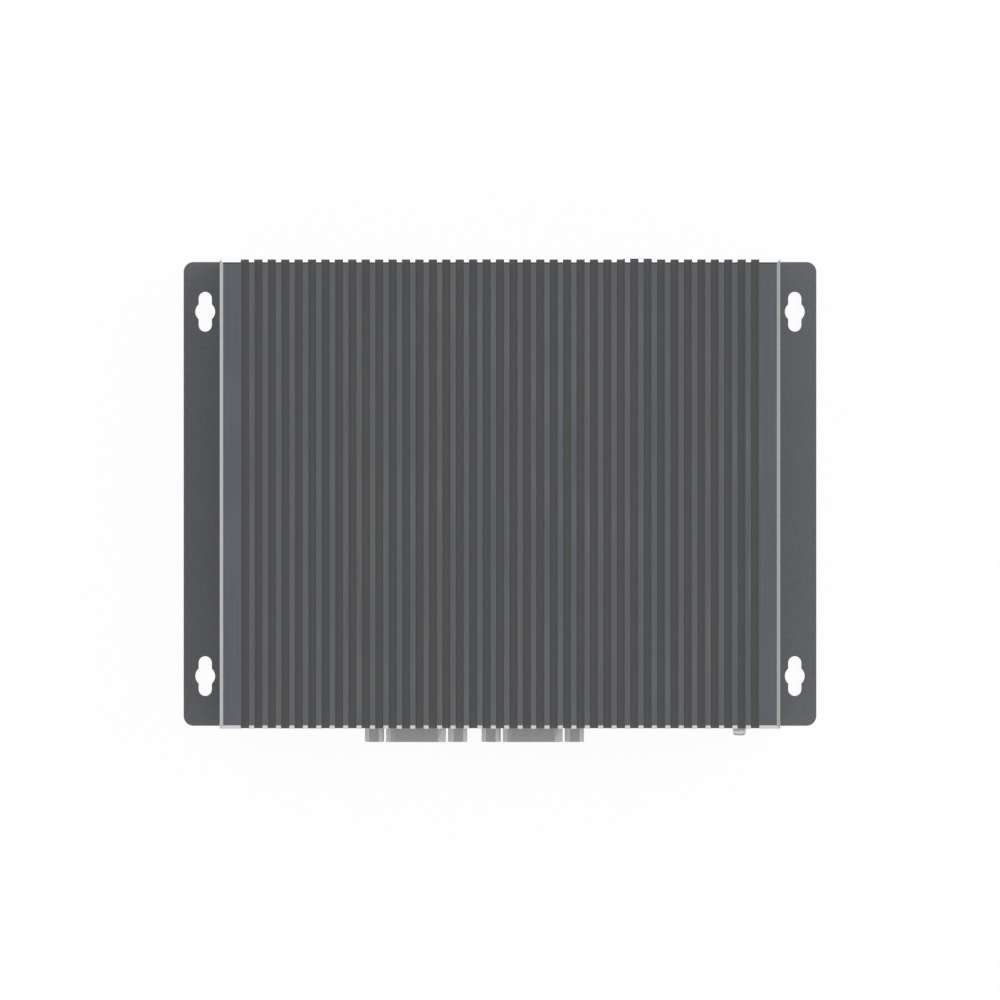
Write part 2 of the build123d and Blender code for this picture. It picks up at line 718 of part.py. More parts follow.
def ai_processor():
    """Processor package: a thin substrate with a raised metal lid."""
    package = raised(Pos(0, MODULE_Y) * Rectangle(CHIP_W, CHIP_W), MODULE_TOP, MODULE_TOP + SUBSTRATE_T)
    return package + raised(lid_outline(), MODULE_TOP, PAD_Z)


def memory_chips():
    """Two memory packages beside the processor."""
    x = CHIP_W / 2 + MEMORY_FROM_CHIP + MEMORY_W / 2
    shape = Rectangle(MEMORY_W, MEMORY_D)
    return [raised(Pos(sx * x, MODULE_Y) * shape, MODULE_TOP, MODULE_TOP + MEMORY_T) for sx in (-1, 1)]


def module_posts():
    """Two short posts under the module's free edge."""
    return [small_post(x, y, MODULE_Z) for x, y in module_hole_places()]


def module_screws():
    """Two small screws that hold the module down."""
    return [small_screw(x, y, MODULE_Z, MODULE_TOP) for x, y in module_hole_places()]


def thermal_pad():
    """Soft pad between the processor's lid and the heat spreader."""
    return raised(lid_outline(), PAD_Z, SPREADER_Z)


def spreader_screw_places():
    """Centres of the screws that pull the spreader up against the cover."""
    x, y = SPREADER_W / 2 - SPREADER_SCREW_INSET, SPREADER_D / 2 - SPREADER_SCREW_INSET
    return [(px, py + MODULE_Y) for px, py in four_corners(x, y)]


def heat_spreader():
    """Aluminium block that carries the processor's heat up to the cover."""
    outline = Rectangle(SPREADER_W, SPREADER_D)
    outline = chamfer(outline.vertices(), SPREADER_CUT)
    body = raised(Pos(0, MODULE_Y) * outline, SPREADER_Z, COVER_UNDER)
    head_room = SPREADER_Z + CAP_HEAD_H + CAP_HEAD_ROOM
    for x, y in spreader_screw_places():
        body -= upright_rod(SCREW_HOLE_R, x, y, SPREADER_Z - PAST, COVER_UNDER + PAST)
        body -= upright_rod(CAP_HEAD_R + CAP_HEAD_ROOM, x, y, SPREADER_Z - PAST, head_room)
    return body


def spreader_screws():
    """The four screws that pull the spreader up against the cover."""
    seat = SPREADER_Z + CAP_HEAD_H + CAP_HEAD_ROOM
    screw = headed_screw(SCREW_R, CAP_HEAD_R, CAP_HEAD_H, COVER_UNDER + SPREADER_BITE - seat)
    screw -= raised(RegularPolygon(KEY_SOCKET_FLATS / sqrt(3), 6), CAP_HEAD_H - KEY_SOCKET_DEPTH, CAP_HEAD_H)
    return [Pos(x, y, seat) * Rot(180, 0, 0) * screw for x, y in spreader_screw_places()]


def storage_socket():
    """Low edge socket for the storage card."""
    half = CARD_W / 2
    end = CARD_X + CARD_GRIP
    return edge_socket(
        x=(end - CARD_SOCKET_L, end),
        y=(CARD_Y - half - CARD_SOCKET_SIDE, CARD_Y + half + CARD_SOCKET_SIDE),
        board_low=CARD_Z,
        board_high=CARD_TOP,
        roof=CARD_SOCKET_ROOF,
        slit_x=(CARD_X - SLIT_GAP, end + PAST),
        slit_y=(CARD_Y - half - SLIT_GAP, CARD_Y + half + SLIT_GAP),
    )


def storage_card():
    """Storage card, with the half hole for its screw at the free end."""
    card = Pos(CARD_X + CARD_L / 2, CARD_Y) * Rectangle(CARD_L, CARD_W)
    card -= Pos(CARD_X + CARD_L, CARD_Y) * Circle(SMALL_HOLE_R)
    return raised(card, CARD_Z, CARD_TOP)


def storage_chips():
    """Memory and controller packages on the storage card."""
    shape = Rectangle(CARD_CHIP_L, CARD_CHIP_W)
    places = [CARD_X + CARD_FIRST_CHIP + i * CARD_CHIP_PITCH for i in range(CARD_CHIPS)]
    return [raised(Pos(x, CARD_Y) * shape, CARD_TOP, CARD_TOP + CARD_CHIP_T) for x in places]


def battery_holder():
    """Round cup for the clock battery, with a finger gap to lift the cell out."""
    floor_z = ON_BOARD + HOLDER_FLOOR
    top = floor_z + CELL_H
    outer_r = CELL_R + CELL_GAP + HOLDER_WALL
    cup = upright_rod(outer_r, CELL_X, CELL_Y, ON_BOARD, top)
    cup -= upright_rod(CELL_R + CELL_GAP, CELL_X, CELL_Y, floor_z, top + PAST)
    notch_y = (CELL_Y - HOLDER_NOTCH / 2, CELL_Y + HOLDER_NOTCH / 2)
    return cup - block((CELL_X, CELL_X + outer_r + PAST), notch_y, (floor_z, top + PAST))


def clock_battery():
    """Coin cell."""
    low = ON_BOARD + HOLDER_FLOOR + SEAT_GAP
    cell = upright_rod(CELL_R, CELL_X, CELL_Y, low, low + CELL_H)
    return chamfer(cell.edges().sort_by(Axis.Z)[-1], CELL_EDGE)


def power_rows(from_side):
    """Centres of one column of power parts, measured from the board's right edge."""
    x = BOARD_W / 2 - from_side
    return [(x, POWER_Y + (i - (POWER_ROWS - 1) / 2) * POWER_PITCH) for i in range(POWER_ROWS)]


def power_coils():
    """Moulded coils of the power supply."""
    shape = RectangleRounded(COIL_W, COIL_W, COIL_R)
    return [raised(Pos(x, y) * shape, ON_BOARD, ON_BOARD + COIL_H) for x, y in power_rows(COIL_FROM_SIDE)]


def power_cans():
    """Upright capacitor cans of the power supply."""
    return [upright_rod(CAN_R, x, y, ON_BOARD, ON_BOARD + CAN_H) for x, y in power_rows(CAN_FROM_SIDE)]


# Serial ports
def serial_plate(x):
    """Outline of a serial port's flange with its two jackscrew holes."""
    plate = Rectangle(SERIAL_FLANGE_W, SERIAL_FLANGE_H)
    plate = Pos(x, SERIAL_Z) * fillet(plate.vertices(), SERIAL_FLANGE_R)
    for jack_x in jack_xs(x):
        plate -= Pos(jack_x, SERIAL_Z) * Circle(JACK_HOLE_R)
    return plate


def serial_shell(x):
    """Plated shell: flange behind the wall and the D-shaped skirt through it."""
    face_y, back_y = -WALL_IN, -WALL_IN + SERIAL_FLANGE_T
    rim_y = face_y - SERIAL_REACH
    place = Pos(x, SERIAL_Z)
    body = carried_y(serial_plate(x), face_y, back_y) + carried_y(place * serial_outline(0), rim_y, face_y)
    body -= carried_y(place * serial_outline(SERIAL_SKIN), rim_y - PAST, back_y + PAST)
    return fillet(body.faces().sort_by(Axis.Y)[0].edges(), SERIAL_RIM_R)


def pin_places(x):
    """Centres of a serial port's nine contacts, in X and Z."""
    rows = ((WIDE_ROW_PINS, SERIAL_Z + PIN_ROW_GAP / 2), (NARROW_ROW_PINS, SERIAL_Z - PIN_ROW_GAP / 2))
    return [(x + (i - (count - 1) / 2) * PIN_PITCH, z) for count, z in rows for i in range(count)]


def serial_insulator(x):
    """Moulded body behind the flange, with the nose that holds the contacts."""
    back_y = -WALL_IN + SERIAL_FLANGE_T
    nose_y = -WALL_IN - SERIAL_NOSE
    place = Pos(x, SERIAL_Z)
    body = carried_y(serial_plate(x), back_y, back_y + SERIAL_EAR_D)
    body += carried_y(place * Rectangle(SERIAL_BODY_W, SERIAL_FLANGE_H), back_y, back_y + SERIAL_BODY_D)
    body += carried_y(place * serial_outline(SERIAL_SKIN + SEAT_GAP), nose_y, back_y)
    for jack_x in jack_xs(x):
        body -= lying_rod(JACK_HOLE_R, jack_x, SERIAL_Z, -WALL_OUT, -WALL_OUT + JACK_STUD_L + SEAT_GAP)
    for px, pz in pin_places(x):
        body -= lying_rod(PIN_R + SEAT_GAP, px, pz, nose_y - PAST, nose_y + PIN_ROOT)
    return body


def serial_contacts(x):
    """Nine round contacts with tapered tips."""
    nose_y = -WALL_IN - SERIAL_NOSE
    contacts = []
    for px, pz in pin_places(x):
        pin = lying_rod(PIN_R, px, pz, nose_y - PIN_REACH, nose_y + PIN_ROOT)
        contacts.append(chamfer(pin.edges().sort_by(Axis.Y)[0], PIN_TIP))
    return contacts


def jackscrew(x, turn):
    """Hexagonal jackscrew: tapped outside, with its stud through the wall and the flange."""
    corner_r = JACK_FLATS / sqrt(3)
    tip_y = -WALL_OUT - JACK_HEX_L
    body = carried_y(Pos(x, SERIAL_Z) * Rot(0, 0, turn) * RegularPolygon(corner_r, 6), tip_y, -WALL_OUT)
    cone_h = JACK_HEX_L + JACK_EDGE_CUT
    cone = Cone(corner_r - JACK_EDGE_CUT + cone_h, corner_r - JACK_EDGE_CUT, cone_h, align=HANG)
    body &= Pos(x, tip_y, SERIAL_Z) * Rot(90, 0, 0) * cone
    body += lying_rod(JACK_STUD_R, x, SERIAL_Z, -WALL_OUT, -WALL_OUT + JACK_STUD_L)
    return body - lying_rod(JACK_BORE_R, x, SERIAL_Z, tip_y - PAST, -WALL_OUT)


# Status light
def light_pipe():
    """Clear lens on the front wall with its stem reaching back to the light source."""
    head = lying_rod(LIGHT_HEAD_R, LIGHT_X, LIGHT_Z, -WALL_OUT - LIGHT_REACH, -WALL_OUT)
    head = fillet(head.edges().sort_by(Axis.Y)[0], LIGHT_ROUND)
    head = fillet(head.edges().sort_by(Axis.Y)[-1], LIGHT_BASE_ROUND)
    return head + lying_rod(LIGHT_STEM_R, LIGHT_X, LIGHT_Z, -WALL_OUT, -WALL_OUT + LIGHT_STEM_L)


def status_led():
    """Side-looking light source on the board, right behind the stem."""
    front = -WALL_OUT + LIGHT_STEM_L + LED_GAP
    across = (LIGHT_X - LED_W / 2, LIGHT_X + LED_W / 2)
    return block(across, (front, front + LED_D), (ON_BOARD, ON_BOARD + LED_H))


# Power button, from the rear wall's inside face towards the board's middle
COLLAR_Y = WALL_IN - SEAT_GAP
STEM_Y = COLLAR_Y - BUTTON_COLLAR_T
STEM_END_Y = STEM_Y - BUTTON_STEM_L
SWITCH_Y = STEM_END_Y - PLUNGER_OUT


def power_button():
    """Round cap through the rear wall, held by a collar behind it."""
    cap = lying_rod(BUTTON_R, BUTTON_X, BUTTON_Z, STEM_Y, WALL_OUT + BUTTON_REACH)
    cap = fillet(cap.edges().sort_by(Axis.Y)[-1], BUTTON_ROUND)
    cap += lying_rod(BUTTON_R + BUTTON_COLLAR, BUTTON_X, BUTTON_Z, STEM_Y, COLLAR_Y)
    return cap + lying_rod(BUTTON_STEM_R, BUTTON_X, BUTTON_Z, STEM_END_Y, STEM_Y)


def switch_plunger():
    """The switch's own plunger, pushed in by the cap's stem."""
    return lying_rod(PLUNGER_R, BUTTON_X, BUTTON_Z, STEM_END_Y - PLUNGER_L, STEM_END_Y - SEAT_GAP)


def power_switch():
    """Switch body on the board, bored for the plunger and its travel."""
    across = (BUTTON_X - SWITCH_W / 2, BUTTON_X + SWITCH_W / 2)
    body = block(across, (SWITCH_Y - SWITCH_D, SWITCH_Y), (ON_BOARD, ON_BOARD + SWITCH_H))
    body = fillet(body.edges().filter_by(Axis.Y), SWITCH_R)
    bore_end = STEM_END_Y - PLUNGER_L - BUTTON_TRAVEL - SEAT_GAP
    return body - lying_rod(PLUNGER_R + PLUNGER_GAP, BUTTON_X, BUTTON_Z, bore_end, SWITCH_Y + PAST)


# Sockets
def data_mouth_zs():
    """Heights of a data port's two mouths."""
    return (DATA_Z - DATA_PITCH / 2, DATA_Z + DATA_PITCH / 2)


def data_mouths(x, widen):
    """Both mouths of a data port in X and Z, each widened all round by the same amount."""
    shape = Rectangle(DATA_MOUTH_W + 2 * widen, DATA_MOUTH_H + 2 * widen)
    return Sketch() + [Pos(x, z) * shape for z in data_mouth_zs()]


def data_leaves(x, side):
    """Leaf springs above and below each mouth's middle, fixed at their front ends."""
    leaves = []
    for mouth_z in data_mouth_zs():
        for up in (-1, 1):
            wall_z = mouth_z + up * DATA_MOUTH_H / 2
            path = FilletPolyline(
                (behind_face(side, LEAF_START), wall_z),
                (behind_face(side, LEAF_CREST), wall_z - up * LEAF_BULGE),
                (behind_face(side, LEAF_END), wall_z - up * LEAF_LIFT),
                radius=LEAF_BEND,
            )
            side_view = trace(path, LEAF_T)
            for leaf_x in (x - LEAF_X, x + LEAF_X):
                leaves.append(carried_x(side_view, leaf_x - LEAF_W / 2, leaf_x + LEAF_W / 2))
    return leaves


def data_shell(x, side):
    """Folded metal can: outer skin, front face, a lining round each mouth, and its leaf springs."""
    inner = Pos(x, DATA_Z) * Rectangle(DATA_W - 2 * DATA_SKIN, DATA_H - 2 * DATA_SKIN)
    face, back = behind_face(side, 0), behind_face(side, DATA_D)
    mouth_back = behind_face(side, DATA_MOUTH_D)
    can = carried_y(Pos(x, DATA_Z) * Rectangle(DATA_W, DATA_H), face, back)
    can -= carried_y(inner - data_mouths(x, DATA_SKIN), behind_face(side, DATA_SKIN), mouth_back)
    can -= carried_y(inner, mouth_back, back - side * PAST)
    can -= carried_y(data_mouths(x, 0), face + side * PAST, mouth_back)
    return can + data_leaves(x, side)


def tongue_low(mouth_z):
    """Underside of the tongue in a mouth at this height."""
    return mouth_z + DATA_MOUTH_H / 2 - TONGUE_TOP - TONGUE_T


def data_insulator(x, side):
    """Moulded body in the back of the can, with a tongue in each mouth."""
    width, height = DATA_W - 2 * (DATA_SKIN + SEAT_GAP), DATA_H - 2 * (DATA_SKIN + SEAT_GAP)
    front = behind_face(side, DATA_MOUTH_D + SEAT_GAP)
    body = carried_y(Pos(x, DATA_Z) * Rectangle(width, height), front, behind_face(side, DATA_D))
    tongue = Rectangle(DATA_MOUTH_W - 2 * TONGUE_SIDE, TONGUE_T)
    for z in data_mouth_zs():
        middle = Pos(x, tongue_low(z) + TONGUE_T / 2)
        body += carried_y(middle * tongue, behind_face(side, TONGUE_BACK), front)
    return body


def data_contacts(x, side):
    """Four contact strips under each tongue."""
    start = TONGUE_BACK + STRIP_BACK
    span = (behind_face(side, start), behind_face(side, start + STRIP_L))
    return [
        block((x + dx - STRIP_W / 2, x + dx + STRIP_W / 2), span, (tongue_low(z) - STRIP_T, tongue_low(z)))
        for z in data_mouth_zs()
        for dx in STRIP_X
    ]


def net_shell(x):
    """Plated housing of a network jack: a thin box, open in front inside its rim."""
    outline = Pos(x, NET_Z)
    face, back = behind_face(REAR, 0), behind_face(REAR, NET_D)
    can = carried_y(outline * Rectangle(NET_W, NET_H), face, back)
    core = outline * Rectangle(NET_W - 2 * NET_SKIN, NET_H - 2 * NET_SKIN)
    can -= carried_y(core, behind_face(REAR, NET_SKIN), back + NET_SKIN)
    window = outline * Rectangle(NET_W - 2 * NET_RIM, NET_H - 2 * NET_RIM)
    return can - carried_y(window, behind_face(REAR, NET_SKIN + PAST), face + PAST)


def net_insert(x):
    """Moulded insert in the housing, with the mouth and its latch groove."""
    outline = Pos(x, NET_Z)
    inset = NET_SKIN + SEAT_GAP
    core = outline * Rectangle(NET_W - 2 * inset, NET_H - 2 * inset)
    body = carried_y(core, behind_face(REAR, inset), behind_face(REAR, NET_D - inset))
    nose_inset = NET_RIM + SEAT_GAP
    nose = outline * Rectangle(NET_W - 2 * nose_inset, NET_H - 2 * nose_inset)
    body += carried_y(nose, behind_face(REAR, SEAT_GAP), behind_face(REAR, NET_SKIN + PAST))
    mouth = Pos(x, NET_MOUTH_Z) * Rectangle(NET_MOUTH_W, NET_MOUTH_H)
    latch_z = NET_MOUTH_Z - (NET_MOUTH_H + NET_LATCH_H) / 2
    mouth += Pos(x, latch_z) * Rectangle(NET_LATCH_W, NET_LATCH_H)
    body -= carried_y(mouth, behind_face(REAR, -PAST), behind_face(REAR, NET_MOUTH_D))
    pocket = Rectangle(NET_LIGHT_W + 2 * SEAT_GAP, NET_LIGHT_H + 2 * SEAT_GAP)
    pockets = Sketch() + [place * pocket for place in net_light_places(x)]
    return body - carried_y(pockets, behind_face(REAR, -PAST), behind_face(REAR, NET_LIGHT_D + 2 * SEAT_GAP))


def net_light_places(x):
    """Centres of a network jack's two link lights, over the ends of its mouth."""
    dx = (NET_MOUTH_W - NET_LIGHT_W) / 2
    z = NET_MOUTH_Z + NET_MOUTH_H / 2 + NET_LIGHT_OVER + NET_LIGHT_H / 2
    return [Pos(x - dx, z), Pos(x + dx, z)]


def net_lights(x):
    """Two clear windows in the insert, for the link lights."""
    face, back = behind_face(REAR, SEAT_GAP), behind_face(REAR, SEAT_GAP + NET_LIGHT_D)
    shape = Rectangle(NET_LIGHT_W, NET_LIGHT_H)
    return [carried_y(place * shape, face, back) for place in net_light_places(x)]


def net_contacts(x):
    """Eight spring contacts, flat along the mouth's roof and then sloping down to its back."""
    roof = NET_MOUTH_Z + NET_MOUTH_H / 2 - SPRING_T / 2
    path = FilletPolyline(
        (behind_face(REAR, SPRING_START), roof),
        (behind_face(REAR, SPRING_START + SPRING_FLAT), roof),
        (behind_face(REAR, NET_MOUTH_D - SPRING_T), roof - SPRING_DROP),
        radius=SPRING_BEND,
    )
    side_view = trace(path, SPRING_T)
    places = [x + (i - (SPRINGS - 1) / 2) * SPRING_PITCH for i in range(SPRINGS)]
    return [carried_x(side_view, px - SPRING_W / 2, px + SPRING_W / 2) for px in places]


def screen_shell():
    """Plated display socket: a thin shaped tube with a closed back."""
    place = Pos(SCREEN_X, SCREEN_Z)
    face, back = behind_face(REAR, 0), behind_face(REAR, SCREEN_D)
    can = carried_y(place * screen_outline(0), face, back)
    return can - carried_y(place * screen_outline(SCREEN_SKIN), face + PAST, back + SCREEN_SKIN)


def screen_insulator():
    """Moulded body in the back of the display socket, with its tongue."""
    place = Pos(SCREEN_X, SCREEN_Z)
    front = behind_face(REAR, SCREEN_MOUTH_D)
    back = behind_face(REAR, SCREEN_D - SCREEN_SKIN - SEAT_GAP)
    body = carried_y(place * screen_outline(SCREEN_SKIN + SEAT_GAP), front, back)
    tongue_w = SCREEN_W - 2 * (SCREEN_SKIN + SCREEN_TONGUE_SIDE)
    tongue = place * Rectangle(tongue_w, SCREEN_TONGUE_T)
    return body + carried_y(tongue, behind_face(REAR, SCREEN_TONGUE_BACK), front)


def screen_contacts():
    """Contact strips on both sides of the display socket's tongue."""
    start = SCREEN_TONGUE_BACK + STRIP_BACK
    span = (behind_face(REAR, start), behind_face(REAR, start + SCREEN_STRIP_L))
    strips = []
    for up in (-1, 1):
        low = SCREEN_Z + up * SCREEN_TONGUE_T / 2
        for i in range(SCREEN_STRIPS):
            middle = SCREEN_X + (i - (SCREEN_STRIPS - 1) / 2) * SCREEN_STRIP_PITCH
            across = (middle - SCREEN_STRIP_W / 2, middle + SCREEN_STRIP_W / 2)
            strips.append(block(across, span, (low, low + up * SCREEN_STRIP_T)))
    return strips


def power_inlet_body():
    """Power inlet: block on the board with a round nose through the wall."""
    block_front = WALL_IN - SEAT_GAP
    floor_y = behind_face(REAR, INLET_BORE_D)
    outline = Pos(INLET_X, INLET_Z) * Rectangle(INLET_W, INLET_H)
    body = carried_y(outline, block_front, behind_face(REAR, INLET_D))
    body += lying_rod(INLET_NOSE_R, INLET_X, INLET_Z, block_front, behind_face(REAR, 0))
    body -= lying_rod(INLET_BORE_R, INLET_X, INLET_Z, floor_y, behind_face(REAR, -PAST))
    return body - lying_rod(INLET_PIN_R + SEAT_GAP, INLET_X, INLET_Z, floor_y - INLET_PIN_ROOT, floor_y)


def power_inlet_pin():
    """Centre contact of the power inlet."""
    floor_y = behind_face(REAR, INLET_BORE_D)
    root_y = floor_y - INLET_PIN_ROOT + SEAT_GAP
    pin = lying_rod(INLET_PIN_R, INLET_X, INLET_Z, root_y, floor_y + INLET_PIN_L)
    return chamfer(pin.edges().sort_by(Axis.Y)[-1], INLET_PIN_TIP)


def parts():
    """Every node by name: a solid, or a list of like solids."""
    card_end = CARD_X + CARD_L
    named = {
        "base_tray": base_tray(),
        "heatsink_cover": heatsink_cover(),
        "cover_screws": cover_screws(),
        "panel_screws": panel_screws(),
        "carrier_board": carrier_board(),
        "board_standoffs": board_standoffs(),
        "board_screws": board_screws(),
        "module_socket": module_socket(),
        "module_board": module_board(),
        "ai_processor": ai_processor(),
        "memory_chips": memory_chips(),
        "module_posts": module_posts(),
        "module_screws": module_screws(),
        "thermal_pad": thermal_pad(),
        "heat_spreader": heat_spreader(),
        "spreader_screws": spreader_screws(),
        "storage_socket": storage_socket(),
        "storage_card": storage_card(),
        "storage_chips": storage_chips(),
        "storage_post": small_post(card_end, CARD_Y, CARD_Z),
        "storage_screw": small_screw(card_end, CARD_Y, CARD_Z, CARD_TOP),
        "battery_holder": battery_holder(),
        "clock_battery": clock_battery(),
        "power_coils": power_coils(),
        "power_cans": power_cans(),
        "light_pipe": light_pipe(),
        "status_led": status_led(),
        "power_button": power_button(),
        "switch_plunger": switch_plunger(),
        "power_switch": power_switch(),
        "display_socket_shell": screen_shell(),
        "display_socket_insulator": screen_insulator(),
        "display_socket_contacts": screen_contacts(),
        "power_inlet_body": power_inlet_body(),
        "power_inlet_pin": power_inlet_pin(),
    }
    for wall, x, side in (("front", DATA_FRONT_X, FRONT), ("rear", DATA_REAR_X, REAR)):
        named[f"data_port_{wall}_shell"] = data_shell(x, side)
        named[f"data_port_{wall}_insulator"] = data_insulator(x, side)
        named[f"data_port_{wall}_contacts"] = data_contacts(x, side)
    for i, x in enumerate(NET_X, 1):
        named[f"network_jack_{i}_shell"] = net_shell(x)
        named[f"network_jack_{i}_insert"] = net_insert(x)
        named[f"network_jack_{i}_contacts"] = net_contacts(x)
        named[f"network_jack_{i}_lights"] = net_lights(x)
    for i, (x, turns) in enumerate(zip(SERIAL_X, JACK_TURNS), 1):
        named[f"serial_port_{i}_shell"] = serial_shell(x)
        named[f"serial_port_{i}_insulator"] = serial_insulator(x)
        named[f"serial_port_{i}_contacts"] = serial_contacts(x)
        named[f"serial_port_{i}_jackscrews"] = [jackscrew(jx, turn) for jx, turn in zip(jack_xs(x), turns)]
    return named


os.makedirs("parts", exist_ok=True)
for name, shape in parts().items():
    if isinstance(shape, list):
        shape = Compound(children=[solid for item in shape for solid in item.solids()])
    export_step(shape, f"parts/{name}.step")
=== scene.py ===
"""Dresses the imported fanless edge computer: its finishes, its tapped jackscrews, its studio and its camera."""

import json
import logging
import math
from dataclasses import dataclass, field
from enum import Enum

import bpy
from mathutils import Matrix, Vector


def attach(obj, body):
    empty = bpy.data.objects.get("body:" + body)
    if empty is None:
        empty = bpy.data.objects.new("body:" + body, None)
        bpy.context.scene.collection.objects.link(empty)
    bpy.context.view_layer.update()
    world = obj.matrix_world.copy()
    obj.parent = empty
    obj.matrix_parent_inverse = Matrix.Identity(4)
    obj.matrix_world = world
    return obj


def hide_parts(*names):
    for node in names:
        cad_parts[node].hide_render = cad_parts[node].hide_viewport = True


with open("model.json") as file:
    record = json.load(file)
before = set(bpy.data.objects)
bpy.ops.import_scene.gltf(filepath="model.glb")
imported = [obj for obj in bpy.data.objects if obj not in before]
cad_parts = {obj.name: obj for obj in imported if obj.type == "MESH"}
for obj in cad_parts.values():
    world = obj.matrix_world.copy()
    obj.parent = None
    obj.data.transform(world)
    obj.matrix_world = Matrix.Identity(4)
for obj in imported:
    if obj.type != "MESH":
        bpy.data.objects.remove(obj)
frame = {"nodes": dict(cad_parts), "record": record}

log = logging.getLogger("edge_computer")

MM = 0.001
WHITE = (1.0, 1.0, 1.0, 1.0)
UP = (0.0, 0.0, 1.0)
MARKS = {"Mask": "Float", "Height": "Float"}
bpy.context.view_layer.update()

Colour = tuple[float, float, float]
Band = tuple[float, float]
Socket = bpy.types.NodeSocket


class Axis(Enum):
    """The axis that lines left by drawing, extruding or brushing run along, as the stretch of their noise."""

    X = (0.02, 1.0, 1.0)
    Y = (1.0, 0.02, 1.0)


class Effect(Enum):
    """The node groups that several finishes share."""

    GRAIN = "surface_grain"
    LINES = "run_lines"
    SMUDGES = "handling_smudges"
    RINGS = "turned_rings"
    SIDES = "steep_sides"
    RIPPLES = "raised_ripples"
    PRINT = "board_print"


class Work(Enum):
    """What a tool does to a piece."""

    CUT = "DIFFERENCE"
    JOIN = "UNION"
    CROSS = "INTERSECT"


class Tree:
    """Short hand for wiring one node tree."""

    def __init__(self, tree: bpy.types.NodeTree) -> None:
        """Takes the tree to wire.

        Args:
            tree: a material's, group's or world's node tree.
        """
        self.tree = tree

    def link(self, source: Socket, target: Socket) -> None:
        """Links two sockets.

        Args:
            source: the output.
            target: the input.
        """
        self.tree.links.new(source, target)

    def add(self, kind: str, inputs: dict | None = None, **settings: object) -> bpy.types.Node:
        """Adds a node.

        Args:
            kind: the node's type name without its ShaderNode prefix, or the whole name.
            inputs: socket name or number to a value, or to a socket to link.
            settings: the node's own properties.

        Returns:
            The new node.
        """
        full = kind if kind.startswith("Node") else "ShaderNode" + kind
        node = self.tree.nodes.new(full)
        for name, value in settings.items():
            setattr(node, name, value)
        self.feed(node, inputs or {})
        return node

    def feed(self, node: bpy.types.Node, inputs: dict) -> None:
        """Gives a node its inputs.

        Args:
            node: the node.
            inputs: socket name or number to a value, or to a socket to link.
        """
        for key, value in inputs.items():
            if isinstance(value, bpy.types.NodeSocket):
                self.link(value, node.inputs[key])
            else:
                node.inputs[key].default_value = value

    def maths(self, operation: str, *values: float | Socket, clamp: bool = False) -> Socket:
        """Adds a Math node.

        Args:
            operation: its operation.
            values: numbers or sockets, in order.
            clamp: whether the result is held between 0 and 1.

        Returns:
            Its result.
        """
        return self.add("Math", dict(enumerate(values)), operation=operation, use_clamp=clamp).outputs[0]

    def vector(self, operation: str, *values: Socket | Vector | Colour) -> Socket:
        """Adds a Vector Math node whose result is a vector.

        Args:
            operation: its operation.
            values: vectors or sockets, in order.

        Returns:
            Its result.
        """
        return self.add("VectorMath", dict(enumerate(values)), operation=operation).outputs[0]

    def mix(self, share: float | Socket, first: Colour | Socket, second: Colour | Socket) -> Socket:
        """Adds a colour mix.

        Args:
            share: how much of the second colour there is.
            first: a colour, or a socket.
            second: a colour, or a socket.

        Returns:
            The mixed colour.
        """
        inputs: dict = {0: share}
        for key, value in ((6, first), (7, second)):
            inputs[key] = value if isinstance(value, bpy.types.NodeSocket) else (*value, 1.0)
        return self.add("Mix", inputs, data_type="RGBA").outputs[2]

    def blend(self, share: Socket, first: float | Socket, second: float | Socket) -> Socket:
        """Adds a mix of two numbers.

        Args:
            share: how much of the second there is.
            first: a number, or a socket.
            second: a number, or a socket.

        Returns:
            The mixed number.
        """
        return self.add("Mix", {0: share, 2: first, 3: second}, data_type="FLOAT").outputs[0]

    def spread(self, value: Socket, old: Band | tuple[Socket, Socket], new: Band = (0.0, 1.0)) -> Socket:
        """Maps a range of a value smoothly on to a new range.

        Args:
            value: the value.
            old: where the range begins and ends, as numbers or sockets.
            new: the results at its beginning and end.

        Returns:
            The mapped value.
        """
        inputs = {0: value, 1: old[0], 2: old[1], 3: new[0], 4: new[1]}
        return self.add("MapRange", inputs, interpolation_type="SMOOTHSTEP").outputs[0]

    def effect(self, effect: Effect, **inputs: float | Vector | Socket) -> bpy.types.Node:
        """Places one of the shared groups.

        Args:
            effect: which group.
            inputs: its inputs by name.

        Returns:
            The group's node.
        """
        node = self.tree.nodes.new("ShaderNodeGroup")
        node.node_tree = bpy.data.node_groups[effect.value]
        self.feed(node, inputs)
        return node

    def place(self) -> Socket:
        """The point's place on the object, in metres."""
        return self.add("TexCoord").outputs["Object"]

    def facing(self) -> Socket:
        """The way the point's surface faces, on the object."""
        return self.add("TexCoord").outputs["Normal"]

    def axes(self, vector: Socket) -> bpy.types.bpy_prop_collection:
        """Splits a vector.

        Args:
            vector: the vector.

        Returns:
            Its three parts.
        """
        return self.add("SeparateXYZ", {0: vector}).outputs


